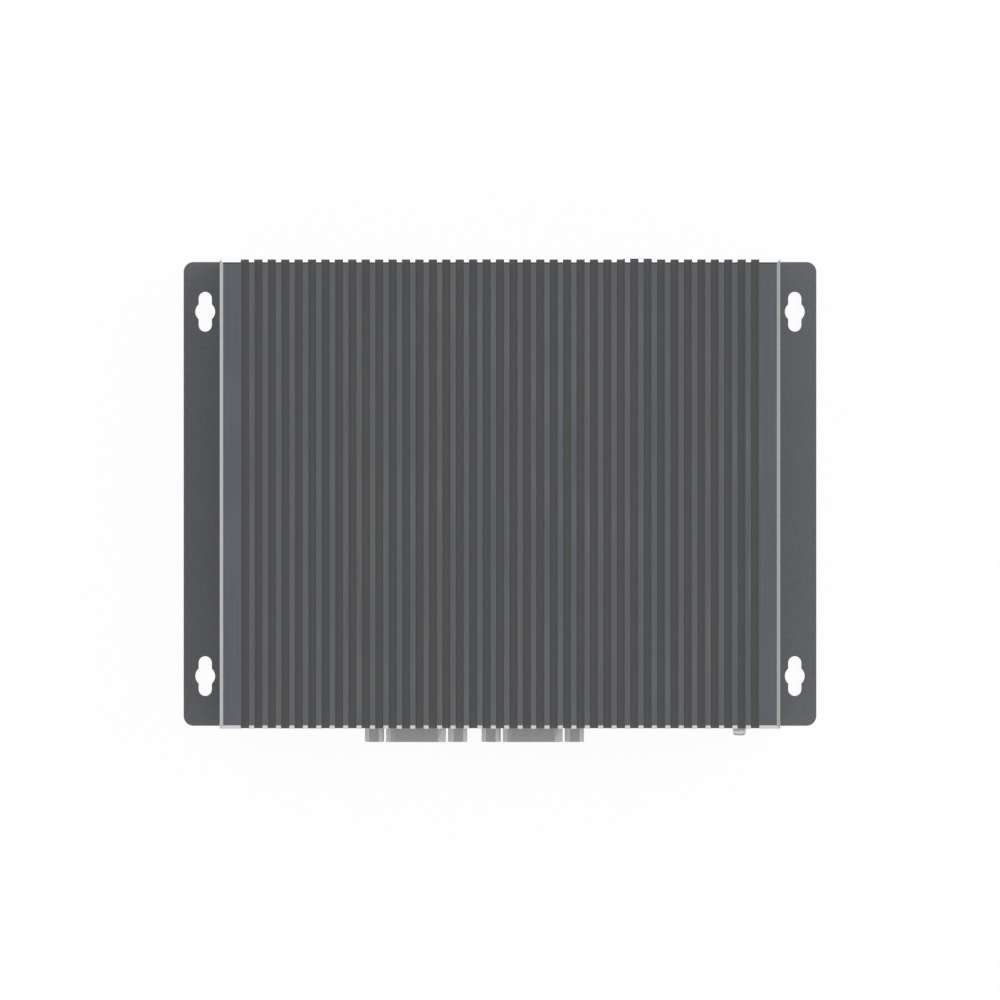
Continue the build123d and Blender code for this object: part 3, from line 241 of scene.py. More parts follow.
@dataclass(frozen=True)
class EffectShelf:
    """Makes the groups that the finishes share.

    Each band says which range of a noise turns into the whole of its mask.
    """

    grain_band: Band = (0.55, 0.95)
    coarse_share: float = 0.5
    line_band: Band = (0.35, 0.65)
    line_rough: float = 0.65
    patch_band: Band = (0.4, 0.7)
    patch_warp: float = 0.6
    pad_band: Band = (0.08, 0.11)
    pad_scatter: float = 0.55
    track_gap: float = 0.06

    def make(self) -> None:
        """Builds each group once."""
        self.grain()
        self.lines()
        self.smudges()
        self.rings()
        self.sides()
        self.ripples()
        self.board_print()

    def start(
        self, effect: Effect, inputs: dict[str, str], outputs: dict[str, str]
    ) -> tuple[Tree, dict[str, Socket], bpy.types.Node]:
        """Opens a new group.

        Args:
            effect: its name.
            inputs: input name to socket type.
            outputs: output name to socket type.

        Returns:
            Its tree, its inputs by name, and its output node.
        """
        group = bpy.data.node_groups.new(effect.value, "ShaderNodeTree")
        for name, kind in inputs.items():
            group.interface.new_socket(name=name, in_out="INPUT", socket_type="NodeSocket" + kind)
        for name, kind in outputs.items():
            group.interface.new_socket(name=name, in_out="OUTPUT", socket_type="NodeSocket" + kind)
        tree = Tree(group)
        given = tree.add("NodeGroupInput").outputs
        return tree, {name: given[name] for name in inputs}, tree.add("NodeGroupOutput")

    def grain(self) -> None:
        """Fine and coarse grain, as blasting, powder coat or a mould's texture leaves it."""
        kinds = {"Place": "Vector", "Fine": "Float", "Coarse": "Float"}
        tree, given, result = self.start(Effect.GRAIN, kinds, MARKS)
        fine = tree.add("TexNoise", {"Vector": given["Place"], "Scale": given["Fine"], "Detail": 3.0})
        coarse = tree.add("TexNoise", {"Vector": given["Place"], "Scale": given["Coarse"], "Detail": 2.0})
        height = tree.maths("MULTIPLY_ADD", coarse.outputs["Fac"], self.coarse_share, fine.outputs["Fac"])
        tree.feed(result, {"Mask": tree.spread(height, self.grain_band), "Height": height})

    def lines(self) -> None:
        """Long fine lines along one axis."""
        kinds = {"Place": "Vector", "Stretch": "Vector", "Fine": "Float"}
        tree, given, result = self.start(Effect.LINES, kinds, MARKS)
        pulled = tree.vector("MULTIPLY", given["Place"], given["Stretch"])
        values = {"Vector": pulled, "Scale": given["Fine"], "Detail": 4.0, "Roughness": self.line_rough}
        height = tree.add("TexNoise", values).outputs["Fac"]
        tree.feed(result, {"Mask": tree.spread(height, self.line_band), "Height": height})

    def smudges(self) -> None:
        """Soft patches where hands and cloths have been."""
        kinds = {"Place": "Vector", "Patch": "Float"}
        tree, given, result = self.start(Effect.SMUDGES, kinds, {"Patches": "Float"})
        values = {"Vector": given["Place"], "Scale": given["Patch"], "Detail": 5.0}
        noise = tree.add("TexNoise", {**values, "Distortion": self.patch_warp})
        tree.feed(result, {"Patches": tree.spread(noise.outputs["Fac"], self.patch_band)})

    def rings(self) -> None:
        """Fine rings that turning leaves about an axis along Y."""
        kinds = {"Place": "Vector", "Centre": "Vector", "Fine": "Float"}
        tree, given, result = self.start(Effect.RINGS, kinds, MARKS)
        offset = tree.vector("SUBTRACT", given["Place"], given["Centre"])
        across = tree.vector("MULTIPLY", offset, (1.0, 0.0, 1.0))
        radius = tree.add("VectorMath", {0: across}, operation="LENGTH").outputs["Value"]
        values = {"W": tree.maths("MULTIPLY", radius, given["Fine"]), "Scale": 1.0, "Detail": 3.0}
        height = tree.add("TexNoise", values, noise_dimensions="1D").outputs["Fac"]
        tree.feed(result, {"Mask": tree.spread(height, self.line_band), "Height": height})

    def sides(self) -> None:
        """Where a piece's surface faces left or right, steeper than From and wholly from To on.

        Lowest says how far down it may face.
        """
        kinds = {"Facing": "Vector", "From": "Float", "To": "Float", "Lowest": "Float"}
        tree, given, result = self.start(Effect.SIDES, kinds, {"Mask": "Float"})
        axes = tree.axes(given["Facing"])
        side = tree.spread(tree.maths("ABSOLUTE", axes[0]), (given["From"], given["To"]))
        level = tree.maths("GREATER_THAN", axes[2], given["Lowest"])
        tree.feed(result, {"Mask": tree.maths("MULTIPLY", side, level)})

    def ripples(self) -> None:
        """Fine ripples that lean a steep side's normal upwards, where it catches the light from above.

        Kept says how much of the normal stays beside a whole step up.
        """
        kinds = {"Normal": "Vector", "Kept": "Float", "Mask": "Float"}
        tree, given, result = self.start(Effect.RIPPLES, kinds, {"Normal": "Vector"})
        leaned = tree.vector("MULTIPLY_ADD", given["Normal"], given["Kept"], UP)
        values = {0: given["Mask"], 4: given["Normal"], 5: tree.vector("NORMALIZE", leaned)}
        tree.feed(result, {"Normal": tree.add("Mix", values, data_type="VECTOR").outputs[1]})

    def board_print(self) -> None:
        """A circuit board's tinned pads and its copper tracks."""
        kinds = {"Place": "Vector", "Pads": "Float", "Tracks": "Float"}
        tree, given, result = self.start(Effect.PRINT, kinds, {"Pads": "Float", "Tracks": "Float"})
        values = {"Vector": given["Place"], "Scale": given["Pads"], "Randomness": self.pad_scatter}
        cells = tree.add("TexVoronoi", values, distance="MANHATTAN")
        pads = tree.spread(cells.outputs["Distance"], self.pad_band, (1.0, 0.0))
        values = {"Vector": given["Place"], "Scale": given["Tracks"], "Mortar Size": self.track_gap}
        tree.feed(result, {"Pads": pads, "Tracks": tree.add("TexBrick", values).outputs["Fac"]})


@dataclass(frozen=True)
class Finish:
    """A surface of one stuff: two near colours, a roughness that wanders, and a fine relief."""

    name: str
    colour: Colour
    second: Colour
    roughness: float = 0.4
    swing: float = 0.1
    metallic: float = 0.0
    fine: float = 6000.0
    coarse: float = 900.0
    relief_mm: float = 0.004
    patch: float = 28.0
    coat: float = 0.0
    run: Axis | None = None
    centre: tuple[float, float, float] | None = None

    def material(self) -> bpy.types.Material:
        """Builds the material.

        Returns:
            The new material.
        """
        made = bpy.data.materials.new(self.name)
        made.use_nodes = True
        made.node_tree.nodes.clear()
        tree = Tree(made.node_tree)
        shader = tree.add("BsdfPrincipled", {"Metallic": self.metallic, "Coat Weight": self.coat})
        tree.add("OutputMaterial", {"Surface": shader.outputs[0]})
        self.dress(tree, shader)
        return made

    def smudged(self, tree: Tree, place: Socket) -> Socket:
        """Places the handling smudges.

        Args:
            tree: the material's tree.
            place: the point's place.

        Returns:
            The patches.
        """
        return tree.effect(Effect.SMUDGES, Place=place, Patch=self.patch).outputs["Patches"]

    def surface(self, tree: Tree) -> tuple[Socket, Socket, Socket]:
        """Wires the shared effects.

        Args:
            tree: the material's tree.

        Returns:
            The mask, the height and the patches.
        """
        place = tree.place()
        if self.centre is not None:
            marks = tree.effect(Effect.RINGS, Place=place, Centre=Vector(self.centre) * MM, Fine=self.fine)
        elif self.run is None:
            marks = tree.effect(Effect.GRAIN, Place=place, Fine=self.fine, Coarse=self.coarse)
        else:
            marks = tree.effect(Effect.LINES, Place=place, Stretch=Vector(self.run.value), Fine=self.fine)
        return marks.outputs["Mask"], marks.outputs["Height"], self.smudged(tree, place)

    def wander(self, tree: Tree, patches: Socket) -> Socket:
        """Lets the roughness wander with the patches.

        Args:
            tree: the material's tree.
            patches: the patches.

        Returns:
            The roughness.
        """
        return tree.maths("MULTIPLY_ADD", patches, self.swing, self.roughness - self.swing / 2)

    def rippled(self, tree: Tree, normal: Socket, kept: float, mask: Socket) -> Socket:
        """Places the raised ripples.

        Args:
            tree: the material's tree.
            normal: the normal without them.
            kept: how much of it stays beside a whole step up.
            mask: 1 where the ripples are, 0 elsewhere.

        Returns:
            The normal with them.
        """
        return tree.effect(Effect.RIPPLES, Normal=normal, Kept=kept, Mask=mask).outputs["Normal"]

    def relief(self, tree: Tree, height: Socket) -> Socket:
        """Turns a height into a normal.

        Args:
            tree: the material's tree.
            height: the height, as a share of the finish's relief.

        Returns:
            The normal.
        """
        values = {"Height": height, "Distance": self.relief_mm * MM, "Strength": 1.0}
        return tree.add("Bump", values).outputs["Normal"]

    def dress(self, tree: Tree, shader: bpy.types.Node) -> None:
        """Wires colour, roughness and relief into the shader.

        Args:
            tree: the material's tree.
            shader: its Principled shader.
        """
        mask, height, patches = self.surface(tree)
        tree.feed(shader, {
            "Base Color": tree.mix(mask, self.colour, self.second),
            "Roughness": self.wander(tree, patches),
            "Normal": self.relief(tree, height),
        })


@dataclass(frozen=True)
class CoverFinish(Finish):
    """Dark anodised extrusion with a bright chamfer cut through the anodising round its top.

    Its lengths are in mm. Each band is how far below or before an edge a mask begins and ends.
    """

    half_w: float = 83.5
    half_d: float = 70.0
    top: float = 50.0
    rim: float = 1.0
    land_w: float = 4.0
    groove_depth: float = 9.5
    bright: Colour = (0.55, 0.55, 0.555)
    bright_rough: float = 0.26
    bright_shade: float = 0.92
    rim_band: Band = (0.05, 0.01)
    mill_fine: float = 7200.0
    mill_share: float = 0.6
    # The grooves' lighter grey is painted light that lifts their shaded floors and sides.
    groove_painted_light_colour: Colour = (0.147, 0.149, 0.148)
    groove_rough: float = 0.24
    top_band: Band = (0.4, 0.05)
    slack: float = 0.02
    ripple_kept: float = 0.12
    ripple_steep: float = 0.25
    root_slack: float = 0.05
    # The thin dark line before the rear chamfer is painted shade at that edge.
    edge_shade_band: Band = (0.5, 0.08)
    edge_shade_share: float = 0.42
    edge_shade_colour: Colour = (0.02, 0.02, 0.022)
    worn_share: float = 0.1
    worn_colour: Colour = (0.15, 0.15, 0.15)

    def rim_mask(self, tree: Tree) -> Socket:
        """Finds the chamfer by its two planes.

        Args:
            tree: the material's tree.

        Returns:
            1 on the chamfer, 0 elsewhere.
        """
        axes = tree.axes(tree.place())
        masks = []
        for axis, half in ((0, self.half_w), (1, self.half_d)):
            over = tree.maths("ADD", tree.maths("ABSOLUTE", axes[axis]), axes[2])
            plane = (half + self.top - self.rim) * MM
            masks.append(tree.spread(over, (plane - self.rim_band[0] * MM, plane - self.rim_band[1] * MM)))
        return tree.maths("MAXIMUM", masks[0], masks[1])

    def top_mask(self, tree: Tree) -> Socket:
        """Finds the fins' milled tops.

        Args:
            tree: the material's tree.

        Returns:
            1 on the tops and the outer walls, 0 down in the grooves.
        """
        axes = tree.axes(tree.place())
        high = tree.spread(axes[2], ((self.top - self.top_band[0]) * MM, (self.top - self.top_band[1]) * MM))
        masks = []
        for axis, edge in ((0, self.half_w - self.land_w), (1, self.half_d - self.slack)):
            masks.append(tree.maths("GREATER_THAN", tree.maths("ABSOLUTE", axes[axis]), edge * MM))
        return tree.maths("MAXIMUM", high, tree.maths("MAXIMUM", masks[0], masks[1]))

    def ripple_mask(self, tree: Tree) -> Socket:
        """Finds the fins' sides, edges and roots, where the die left fine ripples that face up.

        Args:
            tree: the material's tree.

        Returns:
            1 on the rippled sides, 0 elsewhere.
        """
        axes = tree.axes(tree.place())
        across = tree.axes(tree.facing())[0]
        steep = tree.maths("GREATER_THAN", tree.maths("ABSOLUTE", across), self.ripple_steep)
        inside = tree.maths("LESS_THAN", tree.maths("ABSOLUTE", axes[0]), (self.half_w - self.land_w) * MM)
        root = self.top - self.groove_depth - self.root_slack
        high = tree.maths("GREATER_THAN", axes[2], root * MM)
        return tree.maths("MULTIPLY", tree.maths("MULTIPLY", steep, inside), high)

    def edge_shade_mask(self, tree: Tree) -> Socket:
        """Finds the thin line of painted shade along the rear of the tops, just before the chamfer.

        Args:
            tree: the material's tree.

        Returns:
            1 on the line, 0 elsewhere.
        """
        axes = tree.axes(tree.place())
        edge = self.half_d - self.rim
        start = tree.maths("GREATER_THAN", axes[1], (edge - self.edge_shade_band[0]) * MM)
        end = tree.maths("LESS_THAN", axes[1], (edge - self.edge_shade_band[1]) * MM)
        high = tree.maths("GREATER_THAN", axes[2], (self.top - self.slack) * MM)
        return tree.maths("MULTIPLY", tree.maths("MULTIPLY", start, end), high)

    def dress(self, tree: Tree, shader: bpy.types.Node) -> None:
        """Wires the anodised skin and the bright rim.

        Args:
            tree: the material's tree.
            shader: its Principled shader.
        """
        place = tree.place()
        lines = tree.effect(Effect.LINES, Place=place, Stretch=Vector(Axis.Y.value), Fine=self.fine)
        grain = tree.effect(Effect.GRAIN, Place=place, Fine=self.mill_fine, Coarse=self.coarse)
        patches = self.smudged(tree, place)
        rim = self.rim_mask(tree)
        tops = self.top_mask(tree)

        skin = tree.mix(lines.outputs["Mask"], self.colour, self.second)
        # Painted light: the grooves get a lighter grey than the tops, lifting their shaded floors and sides.
        skin = tree.mix(tops, self.groove_painted_light_colour, skin)
        skin = tree.mix(tree.maths("MULTIPLY", patches, self.worn_share), skin, self.worn_colour)
        shade = tuple(self.bright_shade * part for part in self.bright)
        bare = tree.mix(grain.outputs["Mask"], self.bright, shade)
        # Painted shade: a thin dark line along the rear of the tops, just before the chamfer.
        edge = tree.maths("MULTIPLY", self.edge_shade_mask(tree), self.edge_shade_share)
        whole = tree.mix(edge, tree.mix(rim, skin, bare), self.edge_shade_colour)
        tree.link(whole, shader.inputs["Base Color"])

        rough = tree.blend(tops, self.groove_rough, self.wander(tree, patches))
        tree.link(tree.blend(rim, rough, self.bright_rough), shader.inputs["Roughness"])

        ripples = tree.maths("MULTIPLY", self.ripple_mask(tree), tree.maths("SUBTRACT", 1.0, rim))
        flat = tree.maths("SUBTRACT", 1.0, tree.maths("MAXIMUM", rim, ripples))
        height = tree.maths("MULTIPLY_ADD", grain.outputs["Height"], self.mill_share, lines.outputs["Height"])
        bump = self.relief(tree, tree.maths("MULTIPLY", height, flat))
        tree.link(self.rippled(tree, bump, self.ripple_kept, ripples), shader.inputs["Normal"])


@dataclass(frozen=True)
class DrawnFinish(Finish):
    """Bright drawn metal, whose steep sides carry fine ripples that face up and a painted highlight that makes
    them lighter.
    """

    kept: float = 0.25
    steep: Band = (0.3, 0.6)
    lowest: float = -0.25
    # How much lighter the steep sides are painted: a painted highlight.
    side_highlight_gain: float = 1.4

    def dress(self, tree: Tree, shader: bpy.types.Node) -> None:
        """Wires the metal, leans its sides' normals, and paints its sides lighter as a painted highlight.

        Args:
            tree: the material's tree.
            shader: its Principled shader.
        """
        super().dress(tree, shader)
        bump = shader.inputs["Normal"].links[0].from_socket
        body = shader.inputs["Base Color"].links[0].from_socket
        low, high = self.steep
        sides = tree.effect(Effect.SIDES, Facing=tree.facing(), From=low, To=high, Lowest=self.lowest)
        ripples = sides.outputs["Mask"]
        # Painted highlight: the steep sides are painted lighter, where the light from above would catch them.
        painted_highlight = tuple(self.side_highlight_gain * part for part in self.second)
        tree.feed(shader, {
            "Base Color": tree.mix(ripples, body, painted_highlight),
            "Normal": self.rippled(tree, bump, self.kept, ripples),
        })


@dataclass(frozen=True)
class ClearFinish(Finish):
    """Clear moulded plastic that stands out from the front wall, faintly clouded at its root, with painted shade
    along its outline where it turns away from the view.
    """

    clarity: float = 0.7
    ior: float = 1.49
    wall_y: float = -70.0
    frosted: Band = (2.1, 0.6)
    frost_and_outline_shade: Colour = (0.34, 0.34, 0.345)
    # The grey outline is painted shade, darker where the surface turns away from the view.
    outline_shade_power: float = 3.0
    outline_shade_share: float = 0.8

    def dress(self, tree: Tree, shader: bpy.types.Node) -> None:
        """Wires the clear plastic, frosted towards its root and with painted shade at its outline.

        Args:
            tree: the material's tree.
            shader: its Principled shader.
        """
        super().dress(tree, shader)
        body = shader.inputs["Base Color"].links[0].from_socket
        along = tree.axes(tree.place())[1]
        root = tree.spread(along, ((self.wall_y - self.frosted[0]) * MM, (self.wall_y - self.frosted[1]) * MM))
        # Painted shade: a grey outline where the surface turns away from the view, mixed in with the frosting at
        # the root.
        facing = tree.add("LayerWeight", {"Blend": 0.5}).outputs["Facing"]
        rim = tree.maths("MULTIPLY", tree.maths("POWER", facing, self.outline_shade_power), self.outline_shade_share)
        tree.feed(shader, {
            "Transmission Weight": self.clarity,
            "IOR": self.ior,
            "Base Color": tree.mix(tree.maths("MAXIMUM", root, rim), body, self.frost_and_outline_shade),
        })


@dataclass(frozen=True)
class BoardFinish(Finish):
    """Solder mask over copper tracks, with tinned pads."""

    track: Colour = (0.02, 0.16, 0.07)
    track_h: float = 3.0
    track_share: float = 0.25
    pad: Colour = (0.55, 0.53, 0.48)
    pitch: float = 420.0

    def dress(self, tree: Tree, shader: bpy.types.Node) -> None:
        """Wires tracks and pads into the mask's colour.

        Args:
            tree: the material's tree.
            shader: its Principled shader.
        """
        mask, height, patches = self.surface(tree)
        scales = {"Pads": self.pitch, "Tracks": self.pitch * self.track_share}
        printed = tree.effect(Effect.PRINT, Place=tree.place(), **scales).outputs
        pads, tracks = printed["Pads"], printed["Tracks"]
        base = tree.mix(tracks, tree.mix(mask, self.colour, self.second), self.track)
        tree.feed(shader, {
            "Base Color": tree.mix(pads, base, self.pad),
            "Metallic": pads,
            "Roughness": self.wander(tree, patches),
            "Normal": self.relief(tree, tree.maths("MULTIPLY_ADD", tracks, self.track_h, height)),
        })


ANODISED = CoverFinish(
    "cover_anodised", (0.126, 0.135, 0.1475), (0.139, 0.149, 0.1615), roughness=0.34, swing=0.05, metallic=1.0,
    fine=1500.0, coarse=700.0, relief_mm=0.003,
)
TRAY_PAINT = Finish(
    "tray_paint", (0.11, 0.1155, 0.1245), (0.127, 0.1325, 0.1415), roughness=0.44, swing=0.08, metallic=0.6,
    fine=2600.0, coarse=800.0, relief_mm=0.012,
)
BLACK_SCREW = Finish(
    "black_zinc_screw", (0.022, 0.022, 0.024), (0.035, 0.034, 0.033), roughness=0.33, swing=0.12, metallic=0.7,
    fine=5000.0, coarse=1500.0, relief_mm=0.004,
)
BRIGHT_STEEL = DrawnFinish(
    "bright_steel", (0.36, 0.36, 0.356), (0.41, 0.407, 0.4), roughness=0.3, swing=0.1, metallic=0.6,
    fine=5200.0, coarse=1200.0, relief_mm=0.003,
)
PLATED_SHELL = DrawnFinish(
    "plated_shell", (0.36, 0.36, 0.358), (0.405, 0.403, 0.397), roughness=0.37, swing=0.06, metallic=0.75,
    fine=3800.0, coarse=1000.0, relief_mm=0.0012, steep=(0.45, 0.62),
)
PLATED_LID = Finish(
    "plated_lid", (0.55, 0.55, 0.54), (0.62, 0.61, 0.6), roughness=0.4, metallic=1.0, relief_mm=0.004,
)
BLACK_PLASTIC = Finish(
    "black_plastic", (0.014, 0.014, 0.015), (0.022, 0.022, 0.023), roughness=0.48, swing=0.12,
    fine=7000.0, coarse=1400.0, relief_mm=0.008,
)
CHIP_RESIN = Finish(
    "chip_resin", (0.018, 0.018, 0.019), (0.03, 0.03, 0.031), roughness=0.55, fine=9000.0, relief_mm=0.006,
)
SOFT_PAD = Finish("soft_pad", (0.28, 0.34, 0.4), (0.33, 0.39, 0.45), roughness=0.75, relief_mm=0.02)
BARE_ALUMINIUM = Finish(
    "bare_aluminium", (0.6, 0.61, 0.62), (0.68, 0.69, 0.7), roughness=0.3, metallic=1.0, fine=2400.0,
    relief_mm=0.004, run=Axis.X,
)
GOLD_CONTACT = Finish(
    "gold_contact", (0.83, 0.58, 0.25), (0.88, 0.64, 0.3), roughness=0.22, metallic=1.0, fine=6000.0,
    relief_mm=0.002, run=Axis.Y,
)
CLEAR_PLASTIC = ClearFinish(
    "clear_plastic", (0.93, 0.94, 0.95), (0.89, 0.91, 0.92), roughness=0.12, swing=0.05, relief_mm=0.002,
)
LINK_LENS = Finish(
    "link_lens", (0.48, 0.5, 0.46), (0.56, 0.57, 0.53), roughness=0.32, swing=0.1, coat=0.4, relief_mm=0.003,
)
LED_RESIN = Finish("led_resin", (0.75, 0.72, 0.5), (0.82, 0.79, 0.58), roughness=0.35, relief_mm=0.004)
BUTTON_ANODISED = Finish(
    "button_anodised", (0.055, 0.056, 0.06), (0.07, 0.071, 0.075), roughness=0.3, metallic=1.0,
    fine=3200.0, relief_mm=0.014, centre=(41.7, 0.0, 19.0),
)
BOARD_LAMINATE = BoardFinish(
    "board_laminate", (0.008, 0.075, 0.034), (0.012, 0.09, 0.042), roughness=0.28, relief_mm=0.01, coat=0.3,
)
MODULE_LAMINATE = BoardFinish(
    "module_laminate", (0.01, 0.012, 0.014), (0.014, 0.016, 0.018), roughness=0.3, relief_mm=0.01, coat=0.3,
    track=(0.03, 0.034, 0.036), pitch=600.0,
)
FINISHES = (
    ANODISED, TRAY_PAINT, BLACK_SCREW, BRIGHT_STEEL, PLATED_SHELL, PLATED_LID, BLACK_PLASTIC, CHIP_RESIN,
    SOFT_PAD, BARE_ALUMINIUM, GOLD_CONTACT, CLEAR_PLASTIC, LINK_LENS, LED_RESIN, BUTTON_ANODISED,
    BOARD_LAMINATE, MODULE_LAMINATE,
)


def alone(thing: bpy.types.Object) -> None:
    """Selects one object only and makes it active.

    Args:
        thing: the object.
    """
    bpy.ops.object.select_all(action="DESELECT")
    thing.select_set(True)
    bpy.context.view_layer.objects.active = thing


def settled(thing: bpy.types.Object) -> None:
    """Puts an object's place into its mesh.

    Args:
        thing: the object.
    """
    alone(thing)
    bpy.ops.object.transform_apply(location=True, rotation=True, scale=True)


def worked(base: bpy.types.Object, tool: bpy.types.Object, work: Work) -> None:
    """Works a piece with a tool, and removes the tool.

    Args:
        base: the piece that stays.
        tool: the closed shape it is worked with.
        work: what the tool does.
    """
    modifier = base.modifiers.new(work.name, "BOOLEAN")
    modifier.operation = work.value
    modifier.solver = "EXACT"
    modifier.object = tool
    alone(base)
    bpy.ops.object.modifier_apply(modifier=modifier.name)
    bpy.data.objects.remove(tool, do_unlink=True)


@dataclass
class Jackscrews:
    """A serial port's two hexagonal jackscrews, with the thread that the plug's screws turn into.

    Each is modelled in whole millimetres about the origin, its face at -Y, and then brought to its place.
    The values named after a lap or a lead are how far a tool passes the face that it works.
    """

    port: int
    centre_x: float
    turns: tuple[float, float]
    centre_z: float = 18.4
    wall_y: float = -70.0
    span: float = 24.99
    flats: float = 5.0
    length: float = 4.5
    corner_cut: float = 0.15
    cone_lap: float = 0.2
    cone_lead: float = 0.01
    cone_sides: int = 48
    bore_r: float = 1.13
    groove_r: float = 1.4
    pitch: float = 0.635
    flank_share: float = 0.42
    lead_turns: int = 3
    spare_turns: int = 6
    tap_lead: float = 0.4
    bore_end: float = 0.15
    steps: int = 28
    mouth_r: float = 1.5
    mouth_d: float = 0.45
    mouth_lead: float = 0.1
    stud_r: float = 1.4
    stud_l: float = 4.9
    stud_lap: float = 0.05
    bar_sides: int = 32
    weld: float = 0.001
    smooth_deg: float = 28.0

    def rod(
        self, r_back: float, r_front: float, y_front: float, y_back: float, sides: int, spin: float = 0.0
    ) -> bpy.types.Object:
        """Adds a closed bar or cone that lies front to rear on the axis.

        Args:
            r_back: radius at its rear end.
            r_front: radius at its front end.
            y_front: its front end.
            y_back: its rear end.
            sides: its number of sides.
            spin: how far it is turned about its axis, in degrees, from a corner straight up.

        Returns:
            The bar.
        """
        bpy.ops.object.select_all(action="DESELECT")
        bpy.ops.mesh.primitive_cone_add(
            vertices=sides,
            radius1=r_back,
            radius2=r_front,
            depth=y_back - y_front,
            location=(0, (y_front + y_back) / 2, 0),
            rotation=(math.pi / 2, -math.radians(spin), 0),
        )
        made = bpy.context.active_object
        settled(made)
        return made

    def profile(self) -> bpy.types.Object:
        """Draws one turn of the thread's groove as a line of three edges beside the axis.

        Returns:
            The line.
        """
        flank = self.flank_share * self.pitch
        crest = self.pitch - 2 * flank
        depth = self.groove_r - self.bore_r
        bpy.ops.object.select_all(action="DESELECT")
        bpy.ops.mesh.primitive_plane_add(size=1.0, location=(0, 0, 0))
        line = bpy.context.active_object
        bpy.ops.object.mode_set(mode="EDIT")
        bpy.ops.mesh.select_all(action="SELECT")
        bpy.ops.mesh.merge(type="CENTER")
        bpy.ops.transform.translate(value=(self.bore_r, -self.length - self.lead_turns * self.pitch, 0))
        for step in ((depth, flank, 0), (0, crest, 0), (-depth, flank, 0)):
            bpy.ops.mesh.extrude_vertices_move(TRANSFORM_OT_translate={"value": step})
        bpy.ops.object.mode_set(mode="OBJECT")
        return line

    def tap(self) -> bpy.types.Object:
        """Makes the threaded shape that the bore is cut with.

        Returns:
            A closed helical rod, reaching from before the face to near the wall.
        """
        thread = self.profile()
        screw = thread.modifiers.new("helix", "SCREW")
        screw.axis = "Y"
        screw.angle = 2 * math.pi
        screw.screw_offset = self.pitch
        screw.iterations = math.ceil(self.length / self.pitch) + self.spare_turns
        screw.steps = screw.render_steps = self.steps
        screw.use_merge_vertices = True
        screw.merge_threshold = self.weld
        alone(thread)
        bpy.ops.object.modifier_apply(modifier=screw.name)
        bpy.ops.object.mode_set(mode="EDIT")
        bpy.ops.mesh.select_all(action="SELECT")
        bpy.ops.mesh.remove_doubles(threshold=self.weld)
        for y, side in ((-self.length - self.tap_lead * self.pitch, -1), (-self.bore_end, 1)):
            bpy.ops.mesh.select_all(action="SELECT")
            bpy.ops.mesh.bisect(
                plane_co=(0, y, 0), plane_no=(0, side, 0), use_fill=True, clear_outer=True,
                threshold=self.weld / 10,
            )
        bpy.ops.mesh.select_all(action="SELECT")
        bpy.ops.mesh.normals_make_consistent(inside=False)
        bpy.ops.object.mode_set(mode="OBJECT")
        return thread

    def one(self, x: float, turn: float) -> bpy.types.Object:
        """Models one jackscrew and brings it to its place.

        Args:
            x: its axis.
            turn: how far it was turned when tightened, in degrees.

        Returns:
            The finished screw.
        """
        corner_r = self.flats / math.sqrt(3)
        face_r = corner_r - self.corner_cut
        front = -self.length
        body = self.rod(corner_r, corner_r, front, 0, 6, spin=30 + turn)
        start = front - self.cone_lead
        cone_l = self.length + self.cone_lap
        cone = self.rod(face_r + cone_l, face_r, start, start + cone_l, self.cone_sides)
        worked(body, cone, Work.CROSS)
        worked(body, self.rod(self.stud_r, self.stud_r, -self.stud_lap, self.stud_l, self.bar_sides), Work.JOIN)
        inner, outer = self.bore_r - self.mouth_lead, self.mouth_r + self.mouth_lead
        mouth = self.rod(inner, outer, front - self.mouth_lead, front + self.mouth_d, self.bar_sides)
        worked(body, mouth, Work.CUT)
        worked(body, self.tap(), Work.CUT)
        alone(body)
        bpy.ops.object.shade_smooth_by_angle(angle=math.radians(self.smooth_deg))
        body.scale = (MM, MM, MM)
        body.location = (x * MM, self.wall_y * MM, self.centre_z * MM)
        settled(body)
        return body

    def build(self, materials: dict[str, bpy.types.Material]) -> bpy.types.Object:
        """Models both screws as one piece and gives it its finish.

        Args:
            materials: the finishes by name.

        Returns:
            The finished piece.
        """
        places = (self.centre_x - self.span / 2, self.centre_x + self.span / 2)
        screws = [self.one(x, turn) for x, turn in zip(places, self.turns)]
        alone(screws[0])
        screws[1].select_set(True)
        bpy.ops.object.join()
        piece = bpy.context.active_object
        piece.name = f"tapped_jackscrews_{self.port}"
        settled(piece)
        piece.data.materials.clear()
        piece.data.materials.append(materials["bright_steel"])
        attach(piece, "case")
        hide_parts(f"serial_port_{self.port}_jackscrews")
        return piece


PORTS = (Jackscrews(1, -25.2, (2.5, -5.0)), Jackscrews(2, 9.85, (2.5, -2.5)))


@dataclass
class Wardrobe:
    """Gives each node of the model the finish of its slot."""

    made: dict[str, bpy.types.Material] = field(default_factory=dict)
    frosted: tuple[str, ...] = ("network_jack_1_lights", "network_jack_2_lights")

    def make(self) -> None:
        """Builds every finish once."""
        for finish in FINISHES:
            self.made[finish.name] = finish.material()

    def dress_nodes(self) -> None:
        """Puts each node's finish on it, as the record's slots say; the link lights wear a frosted one."""
        for entry in frame["record"]["subparts"]:
            node = frame["nodes"][entry["node"]]
            node.data.materials.clear()
            name = LINK_LENS.name if entry["node"] in self.frosted else entry["material_slot"]
            node.data.materials.append(self.made[name])


